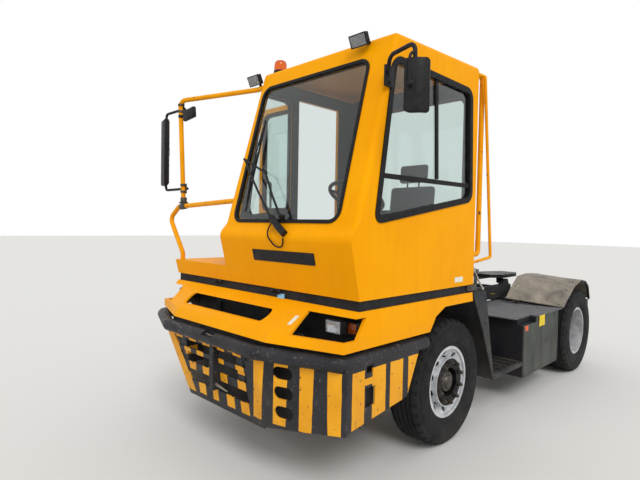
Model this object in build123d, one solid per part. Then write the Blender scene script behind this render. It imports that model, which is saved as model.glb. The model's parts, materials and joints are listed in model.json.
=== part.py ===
from build123d import *

import math
import os

os.makedirs("parts", exist_ok=True)

# Terminal tractor, millimetres. Front is -Y, the vehicle's left is +X, up is +Z.
# Pieces are drawn with Y = 0 at the front axle, and moved by origin_shift when they are written,
# so that the row's origin is at the centre of the box on the ground.

# Overall sizes
front_overhang = 1667
wheelbase = 3108
rear_overhang = 825
body_side_x = 1220
mirror_reach = 1620
seat_gap = 0.3
rear_end_y = wheelbase + rear_overhang
origin_shift = (front_overhang - rear_end_y) / 2

# Tyres and rims, 22.5 inch
tyre_radius = 522
tyre_width = 295
tread_width = 232
shoulder_drop = 8
rim_seat_radius = 285.7
rim_flange_radius = 298.5
rim_flange_thick = 12
rim_half_width = 118
rim_barrel_inner = 274
hand_hole_count = 10
hand_hole_radius = 23
hand_hole_circle = 242
nave_radius = 205
nave_face = 128
nave_recess_radius = 120
nave_recess_floor = 66
hub_cap_radius = 80
hub_cap_face = 96
hub_barrel_radius = 90
disc_thick = 14
drum_thick = 18
drum_depth = 160

# Front axle, knuckles and tie rod
front_track_half = 1028
kingpin_x = 870
kingpin_radius = 22
running_gap = 0.05
beam_half_depth = 45
beam_height = 90
beam_drop = 95
beam_drop_start_x = 700
boss_radius = 45
boss_half_height = 62
yoke_gap = 6
yoke_thick = 30
spindle_radius = 45
spindle_tip_gap = 1
knuckle_web_thick = 40
knuckle_web_radius = 98
arm_reach = 180
arm_half_width = 25
tie_rod_radius = 18
tie_eye_radius = 26
tie_eye_height = 38
tie_pin_radius = 12
hub_height = tyre_radius
spring_centre_x = 392
spring_width = 75
spring_pack_height = 54
spring_half_span = 620
spring_camber = 70

# Chassis rails
rail_outer_x = 430
rail_flange = 80
rail_web = 10
rail_bottom_z = 620
rail_top_z = 870
rail_front_y = -1420
rail_inner_x = rail_outer_x - rail_flange
rail_web_x = rail_outer_x - rail_web
crossmember_height = 140
crossmember_depth = 70

# Rear axle and twin wheels
rear_outer_tyre_x = 1097.5
twin_spacing = 330
rear_tube_radius = 95
rear_spindle_radius = 60
diff_radius = 215
rear_hub_radius = 138
rear_hub_face = -48

# Cab shell
cab_left_x = body_side_x
cab_right_x = -225
cab_wall = 45
cab_bottom_z = 1333
cab_rear_y = 250
cab_front_y = -1270
nose_y = -1370
nose_z = 1738
screen_foot_y = -1322
screen_foot_z = 1790
roof_front_y = -925
roof_front_z = 3142
roof_rear_z = roof_front_z + 48
roof_thick = 60
nose_round = 80
glass_thick = 8
window_round = 75
deck_right_x = -1075
deck_top_z = 1465
deck_sheet = 25

# Right side door, drawn closed and written open
door_hinge_y = -530
door_hinge_offset = 22
hinge_barrel = 12
door_width = 560
door_bottom_z = 1490
door_top_z = roof_front_z - 157
door_thick = 34
door_gap = 5
door_open_deg = 90
door_frame = 62

# Hood below the cab, with the dark band between them
band_bottom_z = 1264
band_inset = 14
band_thick = 30
hood_wall = 26
hood_crease_z = 1095
hood_lip_z = 1025
hood_flat_left_x = 680
hood_flat_right_x = -540
hood_crease_y = -1562
hood_crease_corner_y = -1428
hood_lip_y = -1600
hood_lip_corner_y = -1436
hood_right_x = 1090
hood_right_corner_y = -1405
hood_crease_x = 1236
hood_lip_x = 1240
hood_rear_y = 240
slot_left_x = 515
slot_right_x = -590
slot_height = 76
slot_centre_z = 1163
mouth_low_z = 1090
mouth_top_z = 1226
left_mouth_low_x = 838
left_mouth_top_x = 812
right_mouth_low_x = 869
right_mouth_top_x = 901
mouth_low_y = -1303
mouth_top_y = -1199

# Tow bumper
bumper_flat_half = 600
bumper_right_top_x = -650
bumper_right_foot_x = -378
tube_radius = 50
tube_z = 945
tube_corner_x = 1200
tube_right_x = 1130
tube_corner_y = -1402
tube_rear_y = -470
bumper_plate = 12
plate_top_z = 925
plate_bottom_z = 395
facet_bottom_z = 420
corner_bottom_z = 505

# Tilting of the cab
tilt_pivot_y = -1262
tilt_pivot_z = 1317
hinge_radius = 14
hinge_x = 390
hinge_width = 50

# Side equipment between the axles
box_front_y = 1390
box_rear_y = wheelbase - 708
box_bottom_z = 270
lid_thick = 12
lid_overhang = 10
lid_front_y = box_front_y - 60
lid_rear_y = box_rear_y + 120
step_bottom_z = 400
step_thick = 40
step_inner_x = 690
step_front_y = 722
splash_thick = 12

guard_inner_x = 620
guard_outer_x = 1250
guard_sheet = 10

# Lifting fifth wheel
boom_pivot_y = wheelbase - 1608
boom_pivot_z = 985
boom_inner_x = 352
boom_width = 56
boom_half_height = 85
boom_shaft_radius = 40
boom_end_y = wheelbase - 148
coupling_y = wheelbase - 308
coupling_pivot_z = 1112
coupling_top_z = 1205
coupling_plate_thick = 42
coupling_half_width = 455
coupling_front_y = coupling_y - 320
coupling_rear_y = coupling_y + 370
coupling_pin_radius = 26
king_slot_radius = 27
boss_clear = 6
cylinder_x = 235
cylinder_base_y = boom_pivot_y + 405
cylinder_base_z = boom_pivot_z - 385
cylinder_top_y = boom_pivot_y + 940
cylinder_top_z = boom_pivot_z
barrel_radius = 52
barrel_bore = 40
barrel_length = 400
rod_radius = 30
eye_width = 50
eye_radius = 46
base_pin_radius = 24
top_pin_radius = 20
top_eye_bore = 34


def block(x0, x1, y0, y1, z0, z1):
    """Box between two corners."""
    return Pos((x0 + x1) / 2, (y0 + y1) / 2, (z0 + z1) / 2) * Box(abs(x1 - x0), abs(y1 - y0), abs(z1 - z0))


def outline(points):
    return make_face(Polyline(*points, close=True))


def side_plate(points_yz, x0, x1):
    """Outline in Y and Z, from x0 to x1."""
    return extrude(Plane.YZ.offset(x0) * outline(points_yz), amount=x1 - x0)


def front_plate(points_xz, y0, y1):
    """Outline in X and Z, from y0 back to y1."""
    return extrude(Plane.XZ.offset(-y1) * outline(points_xz), amount=y1 - y0)


def plan_plate(points_xy, z0, z1):
    """Outline in X and Y, from z0 up to z1."""
    return extrude(Plane.XY.offset(z0) * outline(points_xy), amount=z1 - z0)


def rod_x(x0, x1, y, z, radius):
    """Round bar along X."""
    return Pos((x0 + x1) / 2, y, z) * Rot(0, 90, 0) * Cylinder(radius, abs(x1 - x0))


def rod_y(x, y0, y1, z, radius):
    """Round bar along Y."""
    return Pos(x, (y0 + y1) / 2, z) * Rot(90, 0, 0) * Cylinder(radius, abs(y1 - y0))


def rod_z(x, y, z0, z1, radius):
    """Round bar along Z."""
    return Pos(x, y, (z0 + z1) / 2) * Cylinder(radius, abs(z1 - z0))


def bent_tube(points, radius, bend):
    """Round tube along straight runs joined by arcs."""
    path = FilletPolyline(*points, radius=bend)
    return sweep(Plane(path @ 0, z_dir=path % 0) * Circle(radius), path=path)


def ring_x(profile, x, y, z):
    """Profile of (offset along X, radius) turned about the X axis and placed at a wheel centre."""
    return Pos(x, y, z) * revolve(outline(profile), Axis.X)


def mirrored(shape):
    return mirror(shape, about=Plane.YZ)


def both_sides(shape):
    return Compound(children=[shape, mirrored(shape)])


def write(name, shape):
    """One STEP file for a node, moved to the row's frame."""
    export_step(Pos(0, origin_shift, 0) * shape, f"parts/{name}.step")


# Wheels. Offsets along X are measured from the wheel's centre plane, positive outwards.

def tyre(centre_x, centre_y):
    half = tyre_width / 2
    seat = rim_half_width - rim_flange_thick - seat_gap
    bead = rim_seat_radius + seat_gap
    profile = [
        (-seat, bead), (-seat, rim_flange_radius + 1), (-half, rim_flange_radius + 52),
        (-half, tyre_radius - 70), (-half + 18, tyre_radius - 22),
        (-tread_width / 2, tyre_radius - shoulder_drop), (-tread_width / 2 + 22, tyre_radius),
        (tread_width / 2 - 22, tyre_radius), (tread_width / 2, tyre_radius - shoulder_drop),
        (half - 18, tyre_radius - 22), (half, tyre_radius - 70),
        (half, rim_flange_radius + 52), (seat, rim_flange_radius + 1), (seat, bead),
    ]
    return ring_x(profile, centre_x, centre_y, hub_height)


def rim_barrel():
    """Rim bed with its two flanges."""
    inner = rim_half_width - rim_flange_thick
    return [
        (-rim_half_width, rim_flange_radius), (-inner, rim_flange_radius), (-inner, rim_seat_radius),
        (inner, rim_seat_radius), (inner, rim_flange_radius), (rim_half_width, rim_flange_radius),
        (rim_half_width, rim_barrel_inner), (-rim_half_width, rim_barrel_inner),
    ]


def hand_holes(centre_x, centre_y, depth):
    """Ring of vent holes through a wheel disc, as one compound of bars along X."""
    holes = []
    for number in range(hand_hole_count):
        turn = math.radians(360 / hand_hole_count * (number + 0.5))
        y = centre_y + hand_hole_circle * math.cos(turn)
        z = hub_height + hand_hole_circle * math.sin(turn)
        holes.append(rod_x(centre_x - depth, centre_x + depth, y, z, hand_hole_radius))
    return holes


def front_rim():
    """Left front rim, its nave and its brake drum."""
    bore = spindle_radius + running_gap
    disc_edge = rim_half_width - 20
    disc_root = nave_recess_floor - 4
    disc = [
        (disc_edge, rim_barrel_inner + 2), (disc_root, nave_radius - 2),
        (disc_root - disc_thick, nave_radius - 2), (disc_edge - disc_thick - 4, rim_barrel_inner + 2),
    ]
    hub_back = -60
    nave = [
        (hub_back, bore), (hub_back, hub_barrel_radius), (30, hub_barrel_radius), (30, nave_radius),
        (nave_face, nave_radius), (nave_face, nave_recess_radius), (nave_recess_floor, nave_recess_radius),
        (nave_recess_floor, hub_cap_radius), (hub_cap_face, hub_cap_radius), (hub_cap_face, 0),
        (-hub_back, 0), (-hub_back, bore),
    ]
    drum = [
        (32, nave_radius), (32 - drum_depth, nave_radius), (32 - drum_depth, nave_radius - drum_thick),
        (32, nave_radius - drum_thick),
    ]
    rings = [ring_x(profile, front_track_half, 0, hub_height) for profile in (rim_barrel(), disc, nave, drum)]
    return (rings[0] + rings[1] + rings[2] + rings[3]) - hand_holes(front_track_half, 0, rim_half_width)


def rear_rims():
    """Left twin rims back to back on their hub and drum."""
    inner_x = rear_outer_tyre_x - twin_spacing
    middle_x = (rear_outer_tyre_x + inner_x) / 2
    face = middle_x - rear_outer_tyre_x
    disc = [
        (-rim_half_width + 36, rim_barrel_inner + 2), (face + disc_thick, nave_radius),
        (face + disc_thick, rear_hub_radius - 2), (face, rear_hub_radius - 2), (face, nave_radius),
        (-rim_half_width + 16, rim_barrel_inner + 2),
    ]
    outer = ring_x(rim_barrel(), rear_outer_tyre_x, wheelbase, hub_height)
    outer += ring_x(disc, rear_outer_tyre_x, wheelbase, hub_height)
    outer -= hand_holes(rear_outer_tyre_x, wheelbase, twin_spacing / 2 - 2)
    inner = Pos(2 * middle_x, 0, 0) * mirrored(outer)
    bore = rear_spindle_radius + running_gap
    hub_back = 705
    hub = [
        (hub_back, bore), (hub_back, rear_hub_radius - 30), (middle_x - 60, rear_hub_radius - 30),
        (middle_x - 60, rear_hub_radius), (rear_outer_tyre_x + rear_hub_face, rear_hub_radius),
        (rear_outer_tyre_x + rear_hub_face, rear_hub_radius - 40),
        (rear_outer_tyre_x + rear_hub_face + 25, rear_hub_radius - 55),
        (rear_outer_tyre_x + rear_hub_face + 25, 0), (975, 0), (975, bore),
    ]
    drum = [
        (middle_x - disc_thick, nave_radius), (hub_back + 25, nave_radius),
        (hub_back + 25, nave_radius - drum_thick), (middle_x - 48, nave_radius - drum_thick),
        (middle_x - 48, rear_hub_radius - 10), (middle_x - disc_thick, rear_hub_radius - 10),
    ]
    carrier = ring_x(hub, 0, wheelbase, hub_height) + ring_x(drum, 0, wheelbase, hub_height)
    return outer + inner + carrier


front_tyre = tyre(front_track_half, 0)
front_wheel_rim = front_rim()
write("tyre_front_left", front_tyre)
write("tyre_front_right", mirrored(front_tyre))
write("rim_front_left", front_wheel_rim)
write("rim_front_right", mirrored(front_wheel_rim))

rear_tyre_xs = [rear_outer_tyre_x, rear_outer_tyre_x - twin_spacing]
rear_tyres = Compound(children=[tyre(x, wheelbase) for x in rear_tyre_xs])
rear_wheel_rims = rear_rims()
write("tyres_rear_left", rear_tyres)
write("tyres_rear_right", mirrored(rear_tyres))
write("rims_rear_left", rear_wheel_rims)
write("rims_rear_right", mirrored(rear_wheel_rims))


# Front axle: dropped beam with a kingpin boss at each end, knuckles that yoke the bosses, and a tie rod.

beam_top_z = hub_height + beam_height / 2
beam_end_x = kingpin_x - 10
beam_low_z = beam_top_z - beam_drop
beam_profile = [
    (-beam_end_x, beam_top_z), (-beam_drop_start_x, beam_top_z), (-spring_centre_x - 90, beam_low_z),
    (spring_centre_x + 90, beam_low_z), (beam_drop_start_x, beam_top_z), (beam_end_x, beam_top_z),
    (beam_end_x, beam_top_z - beam_height), (beam_drop_start_x, beam_top_z - beam_height),
    (spring_centre_x + 90, beam_low_z - beam_height), (-spring_centre_x - 90, beam_low_z - beam_height),
    (-beam_drop_start_x, beam_top_z - beam_height), (-beam_end_x, beam_top_z - beam_height),
]
front_axle = front_plate(beam_profile, -beam_half_depth, beam_half_depth)
for side in (-1, 1):
    boss_x = side * kingpin_x
    front_axle += rod_z(boss_x, 0, hub_height - boss_half_height, hub_height + boss_half_height, boss_radius)
    front_axle -= rod_z(boss_x, 0, hub_height - 2 * boss_half_height, hub_height + 2 * boss_half_height,
                        kingpin_radius + running_gap)
    front_axle -= block(boss_x + side * boss_radius * 0.9, boss_x + side * (boss_radius + 80),
                        -beam_half_depth - 1, beam_half_depth + 1, hub_height - 200, hub_height + 200)
write("front_axle", front_axle)

yoke_top_z = hub_height + boss_half_height + yoke_gap
yoke_low_z = hub_height - boss_half_height - yoke_gap
web_x = kingpin_x + boss_radius + 8


def knuckle():
    """Left steering knuckle with its kingpin, spindle, steering arm and the arm's pin for the tie rod."""
    body = rod_z(kingpin_x, 0, yoke_low_z - yoke_thick, yoke_top_z + yoke_thick, kingpin_radius)
    for low_z in (yoke_top_z, yoke_low_z - yoke_thick):
        body += rod_z(kingpin_x, 0, low_z, low_z + yoke_thick, boss_radius + 4)
        body += block(kingpin_x, web_x + 5, -boss_radius, boss_radius, low_z, low_z + yoke_thick)
    body += rod_x(web_x, web_x + knuckle_web_thick, 0, hub_height, knuckle_web_radius)
    spindle_end = front_track_half + 60 - spindle_tip_gap
    body += rod_x(web_x, spindle_end, 0, hub_height, spindle_radius)
    body += block(kingpin_x - arm_half_width, kingpin_x + arm_half_width, 0, arm_reach,
                  yoke_low_z - yoke_thick, yoke_low_z)
    body += rod_z(kingpin_x, arm_reach, yoke_low_z - yoke_thick, yoke_low_z, arm_half_width)
    pin_top_z = yoke_low_z - yoke_thick + 5
    return body + rod_z(kingpin_x, arm_reach, pin_top_z - tie_eye_height - 8, pin_top_z, tie_pin_radius)


left_knuckle = knuckle()
write("knuckle_left", left_knuckle)
write("knuckle_right", mirrored(left_knuckle))

tie_top_z = yoke_low_z - yoke_thick - 1
tie_low_z = tie_top_z - tie_eye_height
tie_rod = rod_x(-kingpin_x, kingpin_x, arm_reach, (tie_top_z + tie_low_z) / 2, tie_rod_radius)
for side in (-1, 1):
    tie_rod += rod_z(side * kingpin_x, arm_reach, tie_low_z, tie_top_z, tie_eye_radius)
for side in (-1, 1):
    tie_rod -= rod_z(side * kingpin_x, arm_reach, tie_low_z - 1, tie_top_z + 1, tie_pin_radius + running_gap)
write("tie_rod", tie_rod)


def leaf_spring():
    """Arched leaf pack on the beam, hung under the rail at both ends."""
    base_z = beam_low_z
    end_z = base_z + spring_camber
    low = ThreePointArc((-spring_half_span, end_z), (0, base_z), (spring_half_span, end_z))
    high = ThreePointArc((spring_half_span, end_z + 30), (0, base_z + spring_pack_height),
                         (-spring_half_span, end_z + 30))
    ends = [Line(low @ 1, high @ 0), Line(high @ 1, low @ 0)]
    face = make_face(Wire([*low.edges(), *ends[0].edges(), *high.edges(), *ends[1].edges()]))
    x0 = spring_centre_x - spring_width / 2
    x1 = spring_centre_x + spring_width / 2
    pack = extrude(Plane.YZ.offset(x0) * face, amount=x1 - x0)
    for y in (-spring_half_span, spring_half_span):
        pack += rod_x(x0, x1, y, end_z + 15, 26)
        hanger = [(y - 45, rail_bottom_z), (y - 22, end_z), (y + 22, end_z), (y + 45, rail_bottom_z)]
        pack += side_plate(hanger, x0, x1)
    clamp_half = beam_half_depth + 25
    pack_top_z = base_z + spring_pack_height
    pack += block(x0 - 8, x1 + 8, -clamp_half, clamp_half, pack_top_z, pack_top_z + 18)
    return pack


write("front_springs", both_sides(leaf_spring()))


# Rear axle: banjo housing and tube carried on the rails by two seats.

rear_axle = rod_x(-700, 700, wheelbase, hub_height, rear_tube_radius)
rear_axle += Pos(0, wheelbase, hub_height) * Sphere(diff_radius)
rear_axle += rod_y(0, wheelbase - diff_radius - 60, wheelbase, hub_height, 95)
spindle_end_x = 974
rear_axle += rod_x(-spindle_end_x, spindle_end_x, wheelbase, hub_height, rear_spindle_radius)
for side in (-1, 1):
    seat_inner = side * rail_inner_x
    rear_axle += block(seat_inner, side * rail_outer_x, wheelbase - 150, wheelbase + 150,
                       hub_height, rail_bottom_z)
write("rear_axle", rear_axle)


# Chassis frame: two channel rails, crossmembers, cab supports and the lift boom's brackets.

def rail(side):
    outer = side * rail_outer_x
    inner = side * rail_inner_x
    web_inner = side * rail_web_x
    solid = block(inner, outer, rail_front_y, rear_end_y - 80 - seat_gap, rail_bottom_z, rail_top_z)
    return solid - block(inner, web_inner, rail_front_y - 1, rear_end_y,
                         rail_bottom_z + rail_web, rail_top_z - rail_web)


chassis = rail(-1) + rail(1)
cross_half = rail_web_x
crossmember_ys = [rail_front_y + crossmember_depth, boom_pivot_y - 380, boom_pivot_y + 130, rear_end_y - 413,
                  rear_end_y - 160]
for y in crossmember_ys:
    chassis += block(-cross_half, cross_half, y - crossmember_depth / 2, y + crossmember_depth / 2,
                     rail_top_z - crossmember_height - rail_web, rail_top_z - rail_web)

support_top_z = cab_bottom_z - seat_gap
support_y = 170
support_left_x = body_side_x - 90
support_right_x = deck_right_x + 60
for side in (-1, 1):
    chassis += block(side * rail_inner_x, side * rail_outer_x, support_y - 35, support_y + 35,
                     rail_top_z, support_top_z)
chassis += block(support_right_x, support_left_x, support_y - 35, support_y + 35,
                 support_top_z - 60, support_top_z)

# Front hinge posts with two ears and a pin each
post_back_y = cab_front_y + band_inset + band_thick + 60
for side in (-1, 1):
    x0 = hinge_x - hinge_width
    x1 = hinge_x + hinge_width
    chassis += block(side * rail_inner_x, side * rail_outer_x, post_back_y - 50, post_back_y + 20,
                     rail_top_z, tilt_pivot_z - hinge_radius)
    chassis += block(side * x0, side * x1, post_back_y - 50, post_back_y + 20,
                     tilt_pivot_z - hinge_radius - 60, tilt_pivot_z + hinge_radius - 6)
    for ear0, ear1 in ((x0, x0 + 20), (x1 - 20, x1)):
        chassis += rod_x(side * ear0, side * ear1, tilt_pivot_y, tilt_pivot_z, hinge_radius)
        chassis += block(side * ear0, side * ear1, tilt_pivot_y, post_back_y,
                         tilt_pivot_z - hinge_radius, tilt_pivot_z + hinge_radius - 6)
    chassis += rod_x(side * x0, side * x1, tilt_pivot_y, tilt_pivot_z, hinge_radius - 6)

# Lift boom brackets with the pivot shaft, and the cylinders' lower shaft
bracket_x0 = boom_inner_x - 40
bracket_x1 = boom_inner_x - 6
for side in (-1, 1):
    chassis += side_plate(
        [(boom_pivot_y - 110, rail_top_z - 60), (boom_pivot_y - 55, boom_pivot_z + 50),
         (boom_pivot_y + 55, boom_pivot_z + 50), (boom_pivot_y + 200, rail_top_z - 60)],
        side * bracket_x0, side * bracket_x1)
    chassis += block(side * bracket_x0, side * cross_half, boom_pivot_y - 110, boom_pivot_y + 195,
                     rail_top_z - 60, rail_top_z - rail_web)
shaft_half = boom_inner_x + boom_width
chassis += rod_x(-shaft_half, shaft_half, boom_pivot_y, boom_pivot_z, boom_shaft_radius)

base_ear_x = cylinder_x + barrel_radius + boss_clear
for side in (-1, 1):
    chassis += side_plate(
        [(cylinder_base_y - 60, cylinder_base_z - 45), (cylinder_base_y + 60, cylinder_base_z - 45),
         (cylinder_base_y + 60, rail_bottom_z + 60), (cylinder_base_y - 60, rail_bottom_z + 60)],
        side * base_ear_x, side * rail_web_x)
chassis += rod_x(-base_ear_x - 20, base_ear_x + 20, cylinder_base_y, cylinder_base_z, base_pin_radius)
write("chassis_frame", chassis)


# Engine, driveline, radiator and exhaust, plain blocks where they are closed in.

engine_front_y = -820
engine_rear_y = 330
engine = block(-300, 300, engine_front_y, engine_rear_y, 560, 1130)
engine += block(seat_gap - rail_web_x, rail_web_x - seat_gap, engine_front_y + 300, engine_front_y + 420,
                640, 720)
write("engine_block", engine)
gearbox = block(-200, 200, engine_rear_y, 620, 540, 900) + block(-150, 150, 620, 960, 570, 830)
gearbox += rod_y(0, 900, wheelbase - diff_radius - 60, hub_height + 8, 40)
gearbox += rod_y(0, 900, 1020, hub_height + 8, 72)
gearbox += block(seat_gap - rail_web_x, rail_web_x - seat_gap, 700, 780, 650, 730)
write("driveline", gearbox)

radiator = block(seat_gap - rail_inner_x, rail_inner_x - seat_gap, -1300, -1215, 560, 1190)
radiator -= block(-300, 300, -1301, -1280, 600, 1150)
write("radiator", radiator)

stack_x = -700
stack_y = 700
exhaust = rod_z(stack_x, stack_y, 930, 1700, 95) + rod_z(stack_x, stack_y, 1700, 2860, 48)
exhaust += block(stack_x - 60, -rail_outer_x, stack_y - 40, stack_y + 40, 905, 945)
exhaust += block(-rail_outer_x - 40, -rail_outer_x, stack_y - 40, stack_y + 40, 700, 945)
write("exhaust", exhaust)


# Hood: three level outlines joined by flat-ruled sides, as a shell open above and below.

def hood_solid(inset):
    """Hood block, drawn smaller by the wall for its inside."""
    def section(z, right_x, left_x, front_y, corner_y, right_corner_y):
        slant = inset * 0.4
        points = [
            (right_x + inset, hood_rear_y + inset), (right_x + inset, right_corner_y + inset),
            (hood_flat_right_x + slant, front_y + inset), (hood_flat_left_x - slant, front_y + inset),
            (left_x - inset, corner_y + inset), (left_x - inset, hood_rear_y + inset),
        ]
        return Plane.XY.offset(z) * outline(points)
    margin = inset * 0.04
    top_y = cab_front_y + 0.5
    top = section(band_bottom_z + margin, deck_right_x, body_side_x, cab_front_y, top_y, top_y)
    crease = section(hood_crease_z, -hood_right_x, hood_crease_x, hood_crease_y, hood_crease_corner_y,
                     hood_right_corner_y)
    lip = section(hood_lip_z - margin, -hood_right_x, hood_lip_x, hood_lip_y, hood_lip_corner_y,
                  hood_right_corner_y)
    upper = loft([crease.face(), top.face()], ruled=True)
    lower = loft([lip.face(), crease.face()], ruled=True)
    return upper + lower


hood = hood_solid(0) - hood_solid(hood_wall)
arch = [(-460, hood_lip_z - 5), (-363, 1130), (-218, 1190), (238, 1190), (hood_rear_y + 5, 1180),
        (hood_rear_y + 5, hood_lip_z - 5)]
hood -= side_plate(arch, -hood_lip_x - 30, hood_lip_x + 30)
slot_mid_x = (slot_left_x + slot_right_x) / 2
slot_span = slot_left_x - slot_right_x
slot_bar = extrude(SlotOverall(slot_span, slot_height), 140, both=True)
hood -= Pos(slot_mid_x, -1440, slot_centre_z) * Rot(90, 0, 0) * slot_bar
mouth_side_x = hood_lip_x + 40
mouth_depth = side_plate([(-1640, mouth_low_z), (-1640, mouth_top_z), (mouth_top_y, mouth_top_z),
                          (mouth_low_y, mouth_low_z)], -mouth_side_x, mouth_side_x)
for side, low_x, top_x in ((1, left_mouth_low_x, left_mouth_top_x), (-1, right_mouth_low_x, right_mouth_top_x)):
    hood -= mouth_depth & front_plate([(side * low_x, mouth_low_z), (side * top_x, mouth_top_z),
                                       (side * mouth_side_x, mouth_top_z), (side * mouth_side_x, mouth_low_z)],
                                      -1640, -1100)
# tongues that rest against the ends of the cab's support beam
hood += block(support_left_x + seat_gap, body_side_x - hood_wall + 4, support_y - 30, support_y + 30, 1215,
              band_bottom_z)
hood += block(deck_right_x + hood_wall - 4, support_right_x - seat_gap, support_y - 30, support_y + 30, 1228,
              band_bottom_z)
write("lower_hood", hood)

# Dark band, set back from the skin, that the tilting body comes down on
band_top_z = cab_bottom_z - seat_gap
band_x = body_side_x - band_inset
band_y = cab_front_y + band_inset
band_right_x = deck_right_x + band_inset
band = block(band_right_x, band_x, band_y, hood_rear_y, band_bottom_z, band_top_z)
band -= block(band_right_x + band_thick, band_x - band_thick, band_y + band_thick, hood_rear_y + 1,
              band_bottom_z - 1, band_top_z + 1)
for side in (-1, 1):
    band -= block(side * (hinge_x - hinge_width - 6), side * (hinge_x + hinge_width + 6), band_y - 1,
                  band_y + band_thick + 1, tilt_pivot_z - hinge_radius - 8, band_top_z + 1)
write("body_band", band)


# Tow bumper: folded plate under a heavy round tube, with slots, pull holes and brackets to the rails.

def bumper_section(z, centre_y, corner_y):
    """Level section of the folded plate, thin and open to the rear."""
    side_x = body_side_x + 18
    inner_x = side_x - bumper_plate
    outer = [(side_x, -600), (side_x, corner_y), (bumper_flat_half, centre_y), (bumper_right_top_x, centre_y)]
    inner = [(bumper_right_top_x, centre_y + bumper_plate), (bumper_flat_half - 2, centre_y + bumper_plate),
             (inner_x, corner_y + bumper_plate * 0.8), (inner_x, -600)]
    return Plane.XY.offset(z) * outline(outer + inner)


plate_centre_y = -1614
plate_foot_y = -1530
plate_corner_y = tube_corner_y + 8
bumper = loft([bumper_section(plate_bottom_z, plate_foot_y, plate_corner_y).face(),
               bumper_section(plate_top_z, plate_centre_y, plate_corner_y).face()], ruled=True)
bumper -= front_plate([(bumper_flat_half, plate_bottom_z - 5), (bumper_flat_half, facet_bottom_z - 12),
                       (body_side_x + 60, corner_bottom_z),
                       (body_side_x + 60, plate_bottom_z - 5)], -1700, -1340)
bumper -= side_plate([(-1700, plate_bottom_z - 5), (-1345, corner_bottom_z + 18), (-742, 601), (-610, 880),
                      (-590, 930), (-590, plate_bottom_z - 5)], body_side_x + 5, 1300)
bumper -= front_plate([(bumper_right_foot_x, plate_bottom_z - 5), (bumper_right_top_x, plate_top_z),
                       (bumper_right_top_x - 50, plate_top_z), (bumper_right_top_x - 50, plate_bottom_z - 5)],
                      -1700, -1200)
grille_rows = [(800, 868, -520), (686, 764, -455), (530, 622, -380)]
for low_z, high_z, left_x in grille_rows:
    bumper -= front_plate([(left_x, high_z), (left_x + 45, low_z), (462, low_z), (445, high_z)], -1700, -1450)
facet_width = body_side_x + 18 - bumper_flat_half
facet_plane = Plane(origin=(bumper_flat_half, plate_centre_y, 0),
                    x_dir=(facet_width, plate_corner_y - plate_centre_y, 0),
                    z_dir=(plate_corner_y - plate_centre_y, -facet_width, 0))
for hole_z in (828, 690, 552):
    bumper -= facet_plane * Pos(205, hole_z, 0) * extrude(SlotOverall(150, 88), 110, both=True)
bumper -= block(1200, 1300, -1212, -1112, 640, 768)
bumper -= block(1200, 1300, -1205, -1135, 862, 960)
tube_path = [(-tube_right_x, tube_rear_y, tube_z), (-tube_right_x, tube_corner_y, tube_z),
             (-bumper_flat_half, tube_radius - front_overhang, tube_z),
             (bumper_flat_half, tube_radius - front_overhang, tube_z),
             (tube_corner_x, tube_corner_y, tube_z), (tube_corner_x, tube_rear_y, tube_z)]
bumper += bent_tube(tube_path, tube_radius, 70)
# pocket in the tube over the tow pin's post
bumper -= block(-20, 130, -front_overhang - 1, -front_overhang + 75, tube_z + 18, tube_z + tube_radius + 1)
for side in (-1, 1):
    bumper += side_plate([(plate_centre_y + 14, 880), (plate_centre_y + 48, 660), (rail_front_y, 660),
                          (rail_front_y, 860)], side * rail_inner_x, side * rail_outer_x)
bumper += block(62, 112, plate_centre_y - 22, plate_centre_y + 30, 560, 905)
write("front_bumper", bumper)


# Liners: one behind the grille on the rails' ends, one before the wheels on the hinge posts

liner_thick = 10
grille_liner_y = rail_front_y - seat_gap
arch_liner_y = post_back_y + 20 + seat_gap
grille_liner = front_plate([(-600, 400), (500, 400), (870, 452), (870, 1085), (-850, 1085), (-880, 900),
                            (-880, 740), (-640, 440)], grille_liner_y - liner_thick, grille_liner_y)
for side in (-1, 1):
    grille_liner -= block(side * (rail_inner_x - 1), side * (rail_outer_x + 1), grille_liner_y - 20,
                          grille_liner_y + 1, rail_bottom_z + 36, rail_top_z)
arch_liner = front_plate([(-1045, 450), (-450, 450), (-450, 900), (450, 900), (450, 450), (1140, 450),
                          (1140, 1240), (-1045, 1240)], arch_liner_y, arch_liner_y + liner_thick)
write("front_liners", Compound(children=[grille_liner, arch_liner]))


# Splash plates behind the front wheels, with the wheel housing's rear wall

def splash():
    edge = [(252, 1256), (457, 910), (700, 400), (712, 400), (500, 1256)]
    plate = side_plate(edge, body_side_x - splash_thick, body_side_x)
    wall = [(252, 1256), (520, 1000), (628, 700), (698, 402), (710, 402), (640, 704), (532, 1006), (268, 1256)]
    return plate + side_plate(wall, rail_outer_x, body_side_x - 2)


write("splash_plates", both_sides(splash()))


def step():
    """Open step between the splash plate and the side box, with the recess wall behind it."""
    rear_y = box_front_y - seat_gap
    tread = block(step_inner_x, body_side_x, step_front_y, rear_y, step_bottom_z, step_bottom_z + step_thick)
    for number in range(5):
        y = step_front_y + 60 + number * 115
        tread -= block(step_inner_x + 60, body_side_x - 40, y, y + 85,
                       step_bottom_z - 1, step_bottom_z + step_thick + 1)
    wall = block(step_inner_x, step_inner_x + 12, step_front_y, rear_y, step_bottom_z, rail_top_z - seat_gap)
    front_stay = block(rail_outer_x, step_inner_x + 2, 820, 880, 660, 720)
    rear_stay = block(rail_outer_x, step_inner_x + 2, 1240, 1300, 660, 720)
    return tread + wall + front_stay + rear_stay


write("side_steps", both_sides(step()))

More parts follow.
